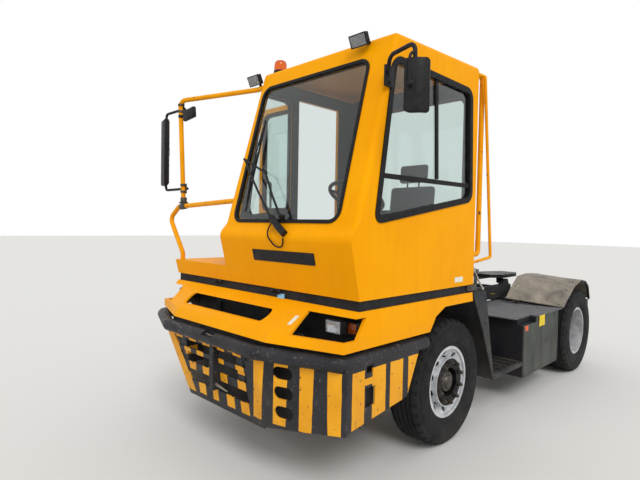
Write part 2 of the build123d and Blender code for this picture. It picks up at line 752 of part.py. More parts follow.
box_notch = 340
box_side = block(rail_outer_x, body_side_x, box_front_y, box_rear_y, box_bottom_z, rail_top_z)
lid_z = rail_top_z + lid_thick
lid = block(rail_outer_x, body_side_x + lid_overhang, lid_front_y, lid_rear_y, rail_top_z, lid_z)
box_left = box_side + lid
box_left -= block(body_side_x - 70, body_side_x + 20, box_front_y - 80, box_front_y + box_notch,
                  rail_top_z - 60, lid_z + 1)
write("side_box_left", box_left)

tank = block(-body_side_x, -rail_outer_x, box_front_y, box_rear_y, box_bottom_z + 40, rail_top_z)
tank_long_edges = [edge for edge in tank.edges().filter_by(Axis.Y) if edge.center().X < -body_side_x + 1]
tank = fillet(tank_long_edges, 90)
tank += mirrored(lid)
tank += rod_x(-body_side_x - 20, -body_side_x + 60, box_front_y + 160, 740, 42)
write("fuel_tank_right", tank)


def mudguard():
    """Sheet over the twin tyres, lower at its outer edge, on two stays. Drawn about the axle's centre."""
    inner = [(-786, 428), (-628, 563), (-451, 683), (-158, 700), (142, 683), (332, 563), (432, 398)]
    outer = [(-613, 374), (-508, 443), (-232, 597), (28, 657), (222, 626), (345, 553), (412, 393)]
    flare = [(28, 657), (222, 626), (345, 553), (412, 393), (400, 368), (382, 393), (317, 538), (210, 596),
             (28, 626)]
    stay_front = [(-575, 328), (-531, 328), (-536, 620), (-568, 595)]
    stay_rear = [(434, 328), (476, 328), (442, 398), (414, 403)]

    def section(points, x):
        thick = points + [(y, z - guard_sheet) for y, z in reversed(points)]
        return Plane.YZ.offset(x) * outline(thick)

    guard = loft([section(inner, guard_inner_x).face(), section(outer, guard_outer_x).face()], ruled=True)
    guard += side_plate(flare, guard_outer_x - 20, guard_outer_x)
    for stay_y, stay in ((-553, stay_front), (452, stay_rear)):
        guard += rod_x(rail_outer_x, guard_inner_x + 80, stay_y, 328, 22)
        guard += side_plate(stay, guard_inner_x + 2, guard_inner_x + 60)
    return Pos(0, wheelbase, hub_height) * guard


write("rear_mudguards", both_sides(mudguard()))

bar_rear_y = rear_end_y - 12
bar_half = body_side_x - 100
crossbar = block(-bar_half, bar_half, bar_rear_y - 68, bar_rear_y, rail_bottom_z + 40, rail_top_z - 30)
write("rear_crossbar", crossbar)

lamp_back_y = -1225
lamp_inner_x = 975
# the hood is narrower on the right, so its lamps stand nearer the middle there
right_lamp_inner_x = 830


def front_lamps(side, inner_x, depth):
    """Headlamp and indicator on a bracket between the hood's walls."""
    bracket = block(side * (inner_x - 75), side * hood_lip_x, lamp_back_y - 10, lamp_back_y, 1068, 1176)
    head = block(side * inner_x, side * (inner_x + 140), lamp_back_y - depth, lamp_back_y, 1106, 1198)
    indicator = block(side * (inner_x + 150), side * (inner_x + 220), lamp_back_y - 50, lamp_back_y,
                      1112, 1188)
    return (bracket & hood_solid(hood_wall + 1)) + head + indicator


lamps = [front_lamps(1, lamp_inner_x, 105), front_lamps(-1, right_lamp_inner_x, 85)]
for side in (-1, 1):
    lamps.append(block(side * (bar_half - 320), side * (bar_half - 40), bar_rear_y, rear_end_y, 700, 800))
write("road_lamps", Compound(children=lamps))


# Lift boom, its two cylinders and the coupling plate it carries

def boom_arm(side):
    x0 = side * boom_inner_x
    x1 = side * (boom_inner_x + boom_width)
    top = boom_pivot_z + boom_half_height
    low = boom_pivot_z - boom_half_height
    arm = side_plate([(boom_pivot_y, low), (boom_end_y, low), (boom_end_y, top - 20), (coupling_y + 90, top),
                      (coupling_y + 60, coupling_pivot_z + 22), (coupling_y - 60, coupling_pivot_z + 22),
                      (coupling_y - 110, top), (boom_pivot_y, top)], x0, x1)
    arm += rod_x(x0, x1, boom_pivot_y, boom_pivot_z, boom_half_height)
    arm += block(x0, x1, coupling_y - 180, coupling_y - 60, rail_top_z + seat_gap, low)
    pin_inner = side * (boom_inner_x - 66)
    return arm + rod_x(pin_inner, x1, coupling_y, coupling_pivot_z, coupling_pin_radius)


boom = boom_arm(-1) + boom_arm(1)
boom += block(-boom_inner_x, boom_inner_x, boom_pivot_y + 200, boom_pivot_y + 300,
              boom_pivot_z - 50, boom_pivot_z + 70)
boom += rod_x(-boom_inner_x, boom_inner_x, coupling_y + 100, boom_pivot_z - 20, 55)
boom += rod_x(-boom_inner_x, boom_inner_x, cylinder_top_y, cylinder_top_z, top_pin_radius)
boom -= rod_x(-shaft_half - 1, shaft_half + 1, boom_pivot_y, boom_pivot_z, boom_shaft_radius + running_gap)
write("lift_boom", boom)

coupling_low_z = coupling_top_z - coupling_plate_thick
half = coupling_half_width
plan = [
    (-half + 130, coupling_front_y), (half - 130, coupling_front_y), (half, coupling_front_y + 150),
    (half, coupling_rear_y - 150), (half - 60, coupling_rear_y), (170, coupling_rear_y),
    (king_slot_radius, coupling_y + 90), (king_slot_radius, coupling_y), (-king_slot_radius, coupling_y),
    (-king_slot_radius, coupling_y + 90), (-170, coupling_rear_y), (-half + 60, coupling_rear_y),
    (-half, coupling_rear_y - 150), (-half, coupling_front_y + 150),
]
coupling = plan_plate(plan, coupling_low_z, coupling_top_z)
coupling -= rod_z(0, coupling_y, coupling_low_z - 1, coupling_top_z + 1, king_slot_radius)
for side in (-1, 1):
    x0 = side * (boom_inner_x - 62)
    x1 = side * (boom_inner_x - 7)
    coupling += rod_x(x0, x1, coupling_y, coupling_pivot_z, coupling_pin_radius + 18)
    coupling += block(x0, x1, coupling_y - 44, coupling_y + 44, coupling_pivot_z, coupling_low_z)
    coupling += block(side * 120, side * 150, coupling_front_y + 60, coupling_rear_y - 120,
                      coupling_low_z - 40, coupling_low_z)
    coupling -= rod_x(side * 200, side * 400, coupling_y, coupling_pivot_z, coupling_pin_radius + running_gap)
write("fifth_wheel", coupling)

cylinder_run = math.hypot(cylinder_top_y - cylinder_base_y, cylinder_top_z - cylinder_base_z)
cylinder_tilt = math.degrees(math.atan2(cylinder_top_z - cylinder_base_z, cylinder_top_y - cylinder_base_y))


def on_cylinder(shape, x):
    """Place a shape drawn along Z from the lower eye onto the cylinder's line."""
    return Pos(x, cylinder_base_y, cylinder_base_z) * Rot(cylinder_tilt - 90, 0, 0) * shape


gland = 40
barrel = rod_z(0, 0, eye_radius - 8, barrel_length, barrel_radius)
barrel -= rod_z(0, 0, eye_radius + 18, barrel_length - gland, barrel_bore)
barrel -= rod_z(0, 0, eye_radius + 18, barrel_length + 1, rod_radius + running_gap)
barrel += rod_x(-eye_width / 2, eye_width / 2, 0, 0, eye_radius)
barrel -= rod_x(-eye_width, eye_width, 0, 0, base_pin_radius + running_gap)
rod = rod_z(0, 0, eye_radius + 24, cylinder_run - eye_radius + 8, rod_radius)
rod += rod_z(0, 0, eye_radius + 24, eye_radius + 54, barrel_bore - 1)
rod += rod_x(-eye_width / 2, eye_width / 2, 0, cylinder_run, eye_radius)
rod -= rod_x(-eye_width, eye_width, 0, cylinder_run, top_eye_bore)
write("lift_barrels", Compound(children=[on_cylinder(barrel, side * cylinder_x) for side in (-1, 1)]))
write("lift_rods", Compound(children=[on_cylinder(rod, side * cylinder_x) for side in (-1, 1)]))


# Cab shell: one profile, split where its panels meet

cab_profile = [(cab_front_y, cab_bottom_z), (nose_y, nose_z), (screen_foot_y, screen_foot_z),
               (roof_front_y, roof_front_z), (cab_rear_y, roof_rear_z), (cab_rear_y, cab_bottom_z)]
cab_outer = side_plate(cab_profile, cab_right_x, cab_left_x)
screen_mid_z = (screen_foot_z + roof_front_z) / 2
soft_edges = [edge for edge in cab_outer.edges()
              if edge.center().Y < roof_front_y and abs(edge.center().Z - screen_mid_z) < 40]
soft_edges += [edge for edge in cab_outer.edges() if edge.center().Z > roof_front_z - 1]
cab_outer = fillet(soft_edges, 40)
nose_edges = [edge for edge in cab_outer.edges().filter_by(Axis.X)
              if nose_z - 1 < edge.center().Z < screen_foot_z + 1 and edge.center().Y < screen_foot_y + 1]
cab_outer = fillet(nose_edges, nose_round)
inner_face = offset(outline(cab_profile), amount=-cab_wall, kind=Kind.INTERSECTION)
cab_inner_width = cab_left_x - cab_right_x - 2 * cab_wall
cab_inner = extrude(Plane.YZ.offset(cab_right_x + cab_wall) * inner_face, amount=cab_inner_width)
cab_shell = cab_outer - cab_inner
floor_top_z = cab_bottom_z + cab_wall
roof_split_z = roof_front_z - roof_thick
far = 2000


window_top_z = roof_front_z - 180
window_foot_z = screen_foot_z + 50
window_left = [(-1130, window_foot_z), (cab_rear_y - 80, window_foot_z + 210),
               (cab_rear_y - 120, window_top_z), (roof_front_y - 32, window_top_z + 4)]
window_right = [(-1095, window_foot_z + 30), (door_hinge_y - 80, window_foot_z + 105),
                (door_hinge_y - 80, window_top_z), (roof_front_y - 32, window_top_z + 4)]
window_rear = [(cab_right_x + 105, 1960), (cab_left_x - 110, 1960), (cab_left_x - 110, window_top_z - 12),
               (cab_right_x + 105, window_top_z - 12)]


def pane(points, shrink=0.0):
    """Window outline with round corners, smaller by the seat gap for its glass."""
    face = outline(points)
    face = fillet(face.vertices(), window_round)
    if shrink:
        face = offset(face, amount=-shrink)
    return face


screen_slope = math.degrees(math.atan2(roof_front_y - screen_foot_y, roof_front_z - screen_foot_z))
screen_plane = Plane(origin=(0, screen_foot_y, screen_foot_z), x_dir=(1, 0, 0),
                     z_dir=(0, -math.cos(math.radians(screen_slope)), math.sin(math.radians(screen_slope))))
screen_length = math.hypot(roof_front_y - screen_foot_y, roof_front_z - screen_foot_z)
screen_low = 62
screen_high = screen_length - 169
window_screen = [(cab_right_x + 125, screen_low), (cab_left_x - 175, screen_low),
                 (cab_left_x - 208, screen_high), (cab_right_x + 90, screen_high)]

wall_z = (floor_top_z, roof_split_z)
left_wall = cab_outer & block(cab_left_x - cab_wall, cab_left_x, -far, cab_rear_y, *wall_z)
left_wall -= extrude(Plane.YZ.offset(cab_left_x - 100) * pane(window_left), amount=200)
write("cab_left_wall", left_wall)

door_rear_y = door_hinge_y + door_width
hinge_zs = (door_bottom_z + 150, door_top_z - 165)
hinge_height = 42
hinge_pin_x = cab_right_x - door_hinge_offset
hinge_leaf = 3
right_wall = cab_outer & block(cab_right_x, cab_right_x + cab_wall, -far, cab_rear_y, *wall_z)
right_wall -= extrude(Plane.YZ.offset(cab_right_x - 100) * pane(window_right), amount=200)
right_wall -= block(cab_right_x - 50, cab_right_x + 100, door_hinge_y, door_rear_y,
                    door_bottom_z - door_gap, door_top_z + door_gap)
for hinge_z in hinge_zs:
    low_z = hinge_z - hinge_height
    top_z = hinge_z - seat_gap
    right_wall += block(hinge_pin_x - hinge_leaf, cab_right_x + 2, door_hinge_y - 60, door_hinge_y - 14,
                        low_z, top_z)
    right_wall += block(hinge_pin_x - hinge_leaf, hinge_pin_x + hinge_leaf, door_hinge_y - 20, door_hinge_y,
                        low_z, top_z)
    right_wall += rod_z(hinge_pin_x, door_hinge_y, low_z, top_z, hinge_barrel)
write("cab_right_wall", right_wall)

inner_x0 = cab_right_x + cab_wall
inner_x1 = cab_left_x - cab_wall
front_panel = cab_shell & block(inner_x0, inner_x1, -far, -500, *wall_z)
front_panel -= extrude(screen_plane * pane(window_screen), amount=120, both=True)
write("cab_front", front_panel)

rear_wall = cab_shell & block(inner_x0, inner_x1, 0, cab_rear_y, *wall_z)
rear_wall -= extrude(Plane.XZ.offset(-cab_rear_y - 50) * pane(window_rear), amount=200)
write("cab_rear_wall", rear_wall)

cab_floor = cab_outer & block(cab_right_x, cab_left_x, -far, cab_rear_y, cab_bottom_z, floor_top_z)
for side in (-1, 1):
    x0 = side * (hinge_x - hinge_width + 25)
    x1 = side * (hinge_x + hinge_width - 25)
    if side * hinge_x > cab_right_x:
        cab_floor += rod_x(x0, x1, tilt_pivot_y, tilt_pivot_z, hinge_radius)
        cab_floor += block(x0, x1, tilt_pivot_y - 6, tilt_pivot_y + hinge_radius,
                           tilt_pivot_z, cab_bottom_z + 5)
        cab_floor -= rod_x(x0, x1, tilt_pivot_y, tilt_pivot_z, hinge_radius - 6 + running_gap)
write("cab_floor", cab_floor)
write("cab_roof", cab_shell & block(cab_right_x, cab_left_x, -far, cab_rear_y, roof_split_z, roof_rear_z + 50))

screen_glass = extrude(screen_plane.offset(-glass_thick - 10) * pane(window_screen, seat_gap),
                       amount=glass_thick)
write("windscreen", screen_glass)
glass_left = extrude(Plane.YZ.offset(cab_left_x - 24) * pane(window_left, seat_gap), amount=glass_thick)
glass_right = extrude(Plane.YZ.offset(cab_right_x + 16) * pane(window_right, seat_gap), amount=glass_thick)
glass_rear = extrude(Plane.XZ.offset(-cab_rear_y + 16) * pane(window_rear, seat_gap), amount=glass_thick)
write("cab_glass", Compound(children=[glass_left, glass_right, glass_rear]))


# Side deck: a sheet tray that continues the nose, hinged with the cab

nose_lean = (nose_y - cab_front_y) / (nose_z - cab_bottom_z)
deck_front_top_y = cab_front_y + nose_lean * (deck_top_z - cab_bottom_z)
deck_outline = [(cab_front_y, cab_bottom_z), (deck_front_top_y, deck_top_z), (cab_rear_y, deck_top_z),
                (cab_rear_y, cab_bottom_z)]
deck_inside = [(cab_front_y + deck_sheet, cab_bottom_z - 1),
               (deck_front_top_y + deck_sheet, deck_top_z - deck_sheet),
               (cab_rear_y - deck_sheet, deck_top_z - deck_sheet), (cab_rear_y - deck_sheet, cab_bottom_z - 1)]
deck = side_plate(deck_outline, deck_right_x, cab_right_x)
deck -= side_plate(deck_inside, deck_right_x + deck_sheet, cab_right_x - deck_sheet)
x0 = -(hinge_x - hinge_width + 25)
x1 = -(hinge_x + hinge_width - 25)
deck += rod_x(x0, x1, tilt_pivot_y, tilt_pivot_z, hinge_radius)
deck += block(x0, x1, tilt_pivot_y - 6, tilt_pivot_y + hinge_radius, tilt_pivot_z, cab_bottom_z + 5)
deck -= rod_x(x0, x1, tilt_pivot_y, tilt_pivot_z, hinge_radius - 6 + running_gap)
write("side_deck", deck)


# Right side door, drawn closed and turned open about its hinges

leaf_y0 = door_hinge_y + door_gap
leaf_y1 = door_rear_y - door_gap
door = block(cab_right_x, cab_right_x + door_thick, leaf_y0, leaf_y1, door_bottom_z, door_top_z)
door_window = [(leaf_y0 + door_frame, 1960), (leaf_y1 - door_frame, 1960),
               (leaf_y1 - door_frame, door_top_z - door_frame), (leaf_y0 + door_frame, door_top_z - door_frame)]
door -= extrude(Plane.YZ.offset(cab_right_x - 50) * pane(door_window), amount=150)
for low_z in hinge_zs:
    top_z = low_z + hinge_height
    door += rod_z(hinge_pin_x, door_hinge_y, low_z, top_z, hinge_barrel)
    door += block(hinge_pin_x - hinge_leaf, hinge_pin_x + hinge_leaf, door_hinge_y, leaf_y0 + 30, low_z, top_z)
    door += block(hinge_pin_x, cab_right_x + 2, leaf_y0 + 10, leaf_y0 + 30, low_z, top_z)
door_glass = extrude(Plane.YZ.offset(cab_right_x + 12) * pane(door_window, seat_gap), amount=glass_thick)
door_axis = Axis((hinge_pin_x, door_hinge_y, 0), (0, 0, 1))
write("right_door", door.rotate(door_axis, door_open_deg))
write("right_door_glass", door_glass.rotate(door_axis, door_open_deg))


# Cab fittings

seat_x = 720
seat_front_y = -470
seat = block(seat_x - 130, seat_x + 130, -400, -100, floor_top_z, 1620)
seat += block(seat_x - 240, seat_x + 240, seat_front_y, 20, 1620, 1740)
seat += side_plate([(-60, 1740), (40, 1740), (110, 2380), (20, 2380)], seat_x - 230, seat_x + 230)
write("driver_seat", seat)

dash = side_plate([(-1180, floor_top_z), (-1255, 1700), (-1225, 1810), (-1010, 1790), (-1000, 1700),
                   (-1080, 1640), (-1080, floor_top_z)], inner_x0 + 20, inner_x1 - 5)
write("dashboard", dash)

column_tilt = 28
wheel_ring = Torus(215, 15) + Cylinder(48, 30)
for turn in (90, 210, 330):
    wheel_ring += Rot(0, 0, turn) * Pos(110, 0, 0) * Box(220, 36, 14)
wheel_ring += Pos(0, 0, -170) * Cylinder(32, 320)
steering = Pos(seat_x, -740, 2040) * Rot(-column_tilt, 0, 0) * wheel_ring
steering += block(seat_x - 60, seat_x + 60, -1000, -820, floor_top_z, 1760)
write("steering_wheel", steering)

rail_tube = 22
mirror_arm_radius = 13
frame_x = deck_right_x + 25
frame_y = cab_front_y + 30
frame_top_z = roof_front_z - 117
frame_low_z = screen_foot_z + 220
frame_top_x = frame_x - 75
bow_x = frame_x - 250
rail_start_x = cab_right_x - seat_gap
rails = [
    bent_tube([(rail_start_x, roof_front_y - 5, frame_top_z), (cab_right_x - 75, roof_front_y - 5, frame_top_z),
               (frame_top_x, frame_y, frame_top_z - 20), (frame_x, frame_y, frame_low_z + 22)], rail_tube, 60),
    bent_tube([(rail_start_x, frame_y + 20, frame_low_z), (cab_right_x - 55, frame_y + 20, frame_low_z),
               (frame_x - 80, frame_y, frame_low_z - 35), (bow_x, frame_y, frame_low_z - 150),
               (frame_x, frame_y, deck_top_z + 60), (frame_x, frame_y, deck_top_z + seat_gap)], rail_tube, 60),
]
write("handrails", Compound(children=rails))

grab_x = cab_left_x - 20
grab_y = cab_rear_y + 105
grab_start_y = cab_rear_y + seat_gap
grab = bent_tube([(grab_x, grab_start_y, 1590), (grab_x, grab_y, 1590), (grab_x, grab_y, roof_rear_z - 60),
                  (grab_x, grab_start_y, roof_rear_z - 60)], rail_tube, 40)
thin_tube = 13
thin_x = cab_left_x + 30
thin_top_z = roof_rear_z - 50
grab_thin = bent_tube([(grab_x, grab_start_y, thin_top_z), (grab_x, cab_rear_y + 40, thin_top_z),
                       (thin_x, cab_rear_y + 55, thin_top_z - 30), (thin_x, cab_rear_y + 249, 1560),
                       (grab_x, cab_rear_y + 45, 1522), (grab_x, grab_start_y, 1522)], thin_tube, 16)
write("grab_rails", Compound(children=[grab, grab_thin]))


def mirror_head(side, width, low_z, high_z):
    """Mirror housing, its outer edge swept back."""
    inner_x = mirror_reach - width
    front_y = cab_front_y + 8
    return plan_plate([(side * inner_x, front_y), (side * (inner_x + 8), front_y + 57),
                       (side * (mirror_reach - 6), front_y + 127), (side * mirror_reach, front_y + 102),
                       (side * (mirror_reach - 30), front_y + 57)], low_z, high_z)


left_mirror = mirror_head(1, 115, roof_front_z - 652, roof_front_z - 327)
arm_top_z = roof_front_z - 237
left_mirror += bent_tube([(cab_left_x + 15, -1030, arm_top_z - 105), (cab_left_x + 80, -1120, arm_top_z),
                          (mirror_reach - 75, -1200, arm_top_z),
                          (mirror_reach - 70, -1200, arm_top_z - 205)], 14, 40)
left_mirror += block(cab_left_x + seat_gap, cab_left_x + 25, -1075, -985, arm_top_z - 165, arm_top_z - 25)
right_head_low_z = roof_front_z - 942
right_head_top_z = roof_front_z - 262
right_mirror = mirror_head(-1, 220, right_head_low_z, right_head_top_z)
arm_x = 150 - mirror_reach
arm_y = frame_y + rail_tube + mirror_arm_radius + seat_gap
for arm_z, end_x, low_z, high_z in (
        (right_head_top_z + 50, frame_top_x + 20, right_head_top_z - 20, right_head_top_z + 50),
        (right_head_low_z - 50, frame_x + 10, right_head_low_z - 50, right_head_low_z + 30)):
    right_mirror += rod_x(arm_x - 10, end_x, arm_y, arm_z, mirror_arm_radius)
    right_mirror += rod_z(arm_x, arm_y, low_z - mirror_arm_radius, high_z + mirror_arm_radius,
                          mirror_arm_radius)
write("mirrors", Compound(children=[left_mirror, right_mirror]))


def roof_z(y):
    """Height of the roof's skin."""
    return roof_front_z + (roof_rear_z - roof_front_z) * (y - roof_front_y) / (cab_rear_y - roof_front_y)


# the left lamp is held by a stub on the roof's front edge, the right one stands on the handrail
lamp_head = Rot(25, 0, 0) * Box(150, 55, 90)
stub_radius = 10
left_lamp = Pos(cab_left_x - 281, roof_front_y - 65, roof_front_z - 9) * lamp_head
left_lamp += rod_y(cab_left_x - 240, roof_front_y - 60, roof_front_y + 10, roof_front_z - 25, stub_radius)
left_lamp -= Pos(0, -seat_gap, 0) * cab_outer
right_lamp = Pos(cab_right_x - 80, roof_front_y - 30, frame_top_z + 80) * lamp_head
right_lamp += rod_z(cab_right_x - 40, roof_front_y - 5, frame_top_z + rail_tube + seat_gap, frame_top_z + 60,
                    stub_radius)
write("work_lamps", Compound(children=[left_lamp, right_lamp]))

beacon_x = cab_right_x + 117
beacon_y = roof_front_y + 92
beacon_base = 62
beacon_foot_z = roof_z(beacon_y + beacon_base) + seat_gap
beacon = rod_z(beacon_x, beacon_y, beacon_foot_z, beacon_foot_z + 24, beacon_base)
beacon += rod_z(beacon_x, beacon_y, beacon_foot_z + 24, beacon_foot_z + 118, beacon_base - 4)
write("beacon", beacon)
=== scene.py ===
import json
import math

import bmesh
import bpy
from mathutils import Matrix, Vector


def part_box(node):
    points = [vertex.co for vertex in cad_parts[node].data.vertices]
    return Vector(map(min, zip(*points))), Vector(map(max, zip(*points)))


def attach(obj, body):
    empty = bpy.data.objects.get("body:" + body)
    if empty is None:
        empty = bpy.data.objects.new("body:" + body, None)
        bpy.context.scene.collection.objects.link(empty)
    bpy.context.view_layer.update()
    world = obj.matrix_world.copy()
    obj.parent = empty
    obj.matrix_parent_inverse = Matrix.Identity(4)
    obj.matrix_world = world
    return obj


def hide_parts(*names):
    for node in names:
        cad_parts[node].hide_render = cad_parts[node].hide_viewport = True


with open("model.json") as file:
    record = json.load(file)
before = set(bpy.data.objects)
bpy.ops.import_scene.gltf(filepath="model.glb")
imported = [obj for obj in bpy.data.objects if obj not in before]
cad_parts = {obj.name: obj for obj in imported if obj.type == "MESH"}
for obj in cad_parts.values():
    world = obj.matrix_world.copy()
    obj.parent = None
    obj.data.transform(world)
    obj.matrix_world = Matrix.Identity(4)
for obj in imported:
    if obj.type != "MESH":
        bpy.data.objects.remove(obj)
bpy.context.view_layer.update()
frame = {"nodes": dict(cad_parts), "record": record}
cad = frame["nodes"]

# The photo was measured from the front axle, so places along the vehicle are given from there.
axleY = -1.133
rearAxleY = 1.975
wheelZ = 0.522


def atY(value):
    return value + axleY


# Materials. Each one reads the vehicle's own coordinates, in metres.

def linear(red, green, blue):
    # sRGB 0-255 to the linear colour that Blender mixes in.
    return tuple(((c / 255 + 0.055) / 1.055) ** 2.4 if c > 10 else c / 255 / 12.92
                 for c in (red, green, blue)) + (1,)


class Paint:
    def __init__(self, name, colour, roughness=0.5, metallic=0.0):
        self.material = bpy.data.materials.new(name)
        self.material.use_nodes = True
        self.tree = self.material.node_tree
        self.shader = self.tree.nodes["Principled BSDF"]
        self.put("Base Color", colour)
        self.put("Roughness", roughness)
        self.put("Metallic", metallic)
        self.put("Specular IOR Level", 0.22)
        coords = self.tree.nodes.new("ShaderNodeTexCoord")
        self.place = coords.outputs["Object"]
        split = self.tree.nodes.new("ShaderNodeSeparateXYZ")
        self.tree.links.new(self.place, split.inputs[0])
        self.x, self.y, self.z = split.outputs

    def put(self, socket, value):
        target = self.shader.inputs[socket]
        if hasattr(value, "links"):
            self.tree.links.new(value, target)
        else:
            target.default_value = value

    def node(self, kind, inputs, **settings):
        made = self.tree.nodes.new(kind)
        for key, value in settings.items():
            setattr(made, key, value)
        for key, value in inputs.items():
            if hasattr(value, "links"):
                self.tree.links.new(value, made.inputs[key])
            else:
                made.inputs[key].default_value = value
        return made

    def noise(self, scale, detail, stretch=None, rough=0.55):
        vector = self.place
        if stretch:
            vector = self.node("ShaderNodeMapping", {"Vector": self.place, "Scale": stretch}).outputs[0]
        inputs = {"Vector": vector, "Scale": scale, "Detail": detail, "Roughness": rough}
        return self.node("ShaderNodeTexNoise", inputs).outputs["Fac"]

    def maths(self, operation, a, b=0.0, c=0.0):
        return self.node("ShaderNodeMath", {0: a, 1: b, 2: c}, operation=operation).outputs[0]

    def times(self, *values):
        total = values[0]
        for value in values[1:]:
            total = self.maths("MULTIPLY", total, value)
        return total

    def over(self, value, limit):
        return self.maths("GREATER_THAN", value, limit)

    def under(self, value, limit):
        return self.maths("LESS_THAN", value, limit)

    def inside(self, value, low, high):
        # 1 between low and high, else 0.
        return self.times(self.over(value, low), self.under(value, high))

    def oval(self, across, along):
        # 1 inside an ellipse, else 0. Both are shares of its half widths.
        return self.under(self.maths("ADD", self.times(across, across), self.times(along, along)), 1.0)

    def anyOf(self, masks):
        total = masks[0]
        for mask in masks[1:]:
            total = self.maths("MAXIMUM", total, mask)
        return total

    def ramp(self, value, *stops):
        made = self.node("ShaderNodeValToRGB", {"Fac": value})
        elements = made.color_ramp.elements
        for element, (position, colour) in zip(elements, stops):
            element.position = position
            element.color = colour if isinstance(colour, tuple) else (colour, colour, colour, 1)
        for position, colour in stops[len(elements):]:
            elements.new(position).color = colour
        return made.outputs["Color"]

    def patches(self, scale, detail, *stops, stretch=None, rough=0.55):
        # Noise spread over two or more (value, colour or share) stops.
        return self.ramp(self.noise(scale, detail, stretch, rough), *stops)

    def mix(self, factor, a, b):
        return self.node("ShaderNodeMix", {0: factor, 6: a, 7: b}, data_type="RGBA").outputs[2]

    def bump(self, height, strength, distance):
        made = self.node("ShaderNodeBump", {"Height": height, "Strength": strength, "Distance": distance})
        self.put("Normal", made.outputs[0])

    def dust(self, colour, top, amount, tint=linear(120, 108, 92)):
        # Dirt that thins out with height.
        fall = self.times(self.maths("SUBTRACT", top, self.z), 1 / top)
        where = self.patches(3.2, 6, (0.38, 0.0), (0.68, 1.0))
        return self.mix(self.times(self.maths("MAXIMUM", fall, 0.0), where, amount), colour, tint)


# Room inside the cab that is trimmed in dark grey. Ahead it ends at the dash and at the leaning screen.
cabRoom = {"across": (-0.192, 1.187), "up": (1.36, 3.1), "rear": atY(0.217), "dash": atY(-1.225),
           "screenLow": 1.79, "screenLean": 0.2936, "screenFoot": atY(-1.322) + 0.034}


def yellowPaint(name, lining=False, blackBelow=None):
    paint = Paint(name, linear(241, 161, 1), 0.4)
    paint.put("Specular IOR Level", 0.04)
    cloudy = paint.patches(1.7, 3, (0.3, linear(238, 156, 1)), (0.7, linear(244, 165, 2)))
    streaks = paint.patches(2.6, 6, (0.5, 0.0), (0.8, 0.35), stretch=(6, 6, 0.7))
    colour = paint.mix(streaks, cloudy, linear(222, 142, 4))
    specks = paint.patches(70, 2, (0.77, 0.0), (0.8, 0.6))
    colour = paint.mix(specks, colour, linear(120, 74, 20))
    colour = paint.dust(colour, 1.5, 0.25)
    if lining:
        low, lean = cabRoom["screenLow"], cabRoom["screenLean"]
        screenY = paint.maths("MULTIPLY_ADD", paint.maths("MAXIMUM", paint.z, low), lean,
                              cabRoom["screenFoot"] - low * lean)
        screenY = paint.maths("MAXIMUM", screenY, cabRoom["dash"])
        room = paint.times(paint.inside(paint.x, *cabRoom["across"]), paint.inside(paint.z, *cabRoom["up"]),
                           paint.over(paint.y, screenY), paint.under(paint.y, cabRoom["rear"]))
        colour = paint.mix(room, colour, linear(44, 45, 48))
    if blackBelow:
        colour = paint.mix(paint.under(paint.z, blackBelow), colour, linear(30, 31, 33))
    paint.put("Base Color", colour)
    paint.put("Roughness", paint.patches(9, 5, (0.3, 0.34), (0.75, 0.5)))
    paint.bump(paint.noise(30, 3), 0.06, 0.004)
    return paint.material


def railPaint():
    paint = Paint("railPaint", linear(242, 160, 8), 0.42)
    paint.put("Specular IOR Level", 0.08)
    chips = paint.patches(22, 5, (0.66, 0.0), (0.69, 1.0))
    worn = paint.patches(5, 3, (0.4, linear(228, 150, 8)), (0.7, linear(240, 164, 14)))
    paint.put("Base Color", paint.mix(chips, worn, linear(84, 58, 34)))
    paint.put("Roughness", paint.ramp(chips, (0, 0.36), (1, 0.7)))
    paint.bump(chips, 0.25, -0.001)
    return paint.material


# Yellow marks on the bumper. Each facet stripe leans its own way, and the dashes are on the grille's bars.
bumperMarks = {
    "corner": 1.222,
    "facetTop": 0.89,
    "facet": ((0.569, 0.658, 0.177), (0.733, 0.836, 0.12), (0.921, 1.018, 0.07), (1.108, 1.203, 0.005)),
    "facetHeight": (0.455, 0.892),
    "side": ((-1.345, -1.223), (-1.143, -0.999), (-0.948, -0.798), (-0.733, -0.591)),
    "sideHeight": (0.4, 0.888),
    "crossBar": ((atY(-1.23), atY(-1.13)), (0.785, 0.83)),
    "rightEnd": {"top": 0.91, "lean": -0.52, "x": -0.53, "height": (0.43, 0.905)},
    "dashes": (((0.868, 0.91), (-0.49, -0.285, -0.083, 0.113, 0.319)),
               ((0.735, 0.8), (-0.384, -0.194, 0.09, 0.337)),
               ((0.59, 0.686), (-0.33, -0.13, 0.11, 0.34)),
               ((0.44, 0.53), (-0.22, -0.02, 0.17, 0.35))),
    "dashWidth": 0.1,
    "dashesAhead": atY(-1.49),
    "towPost": (0.056, 0.118),
}


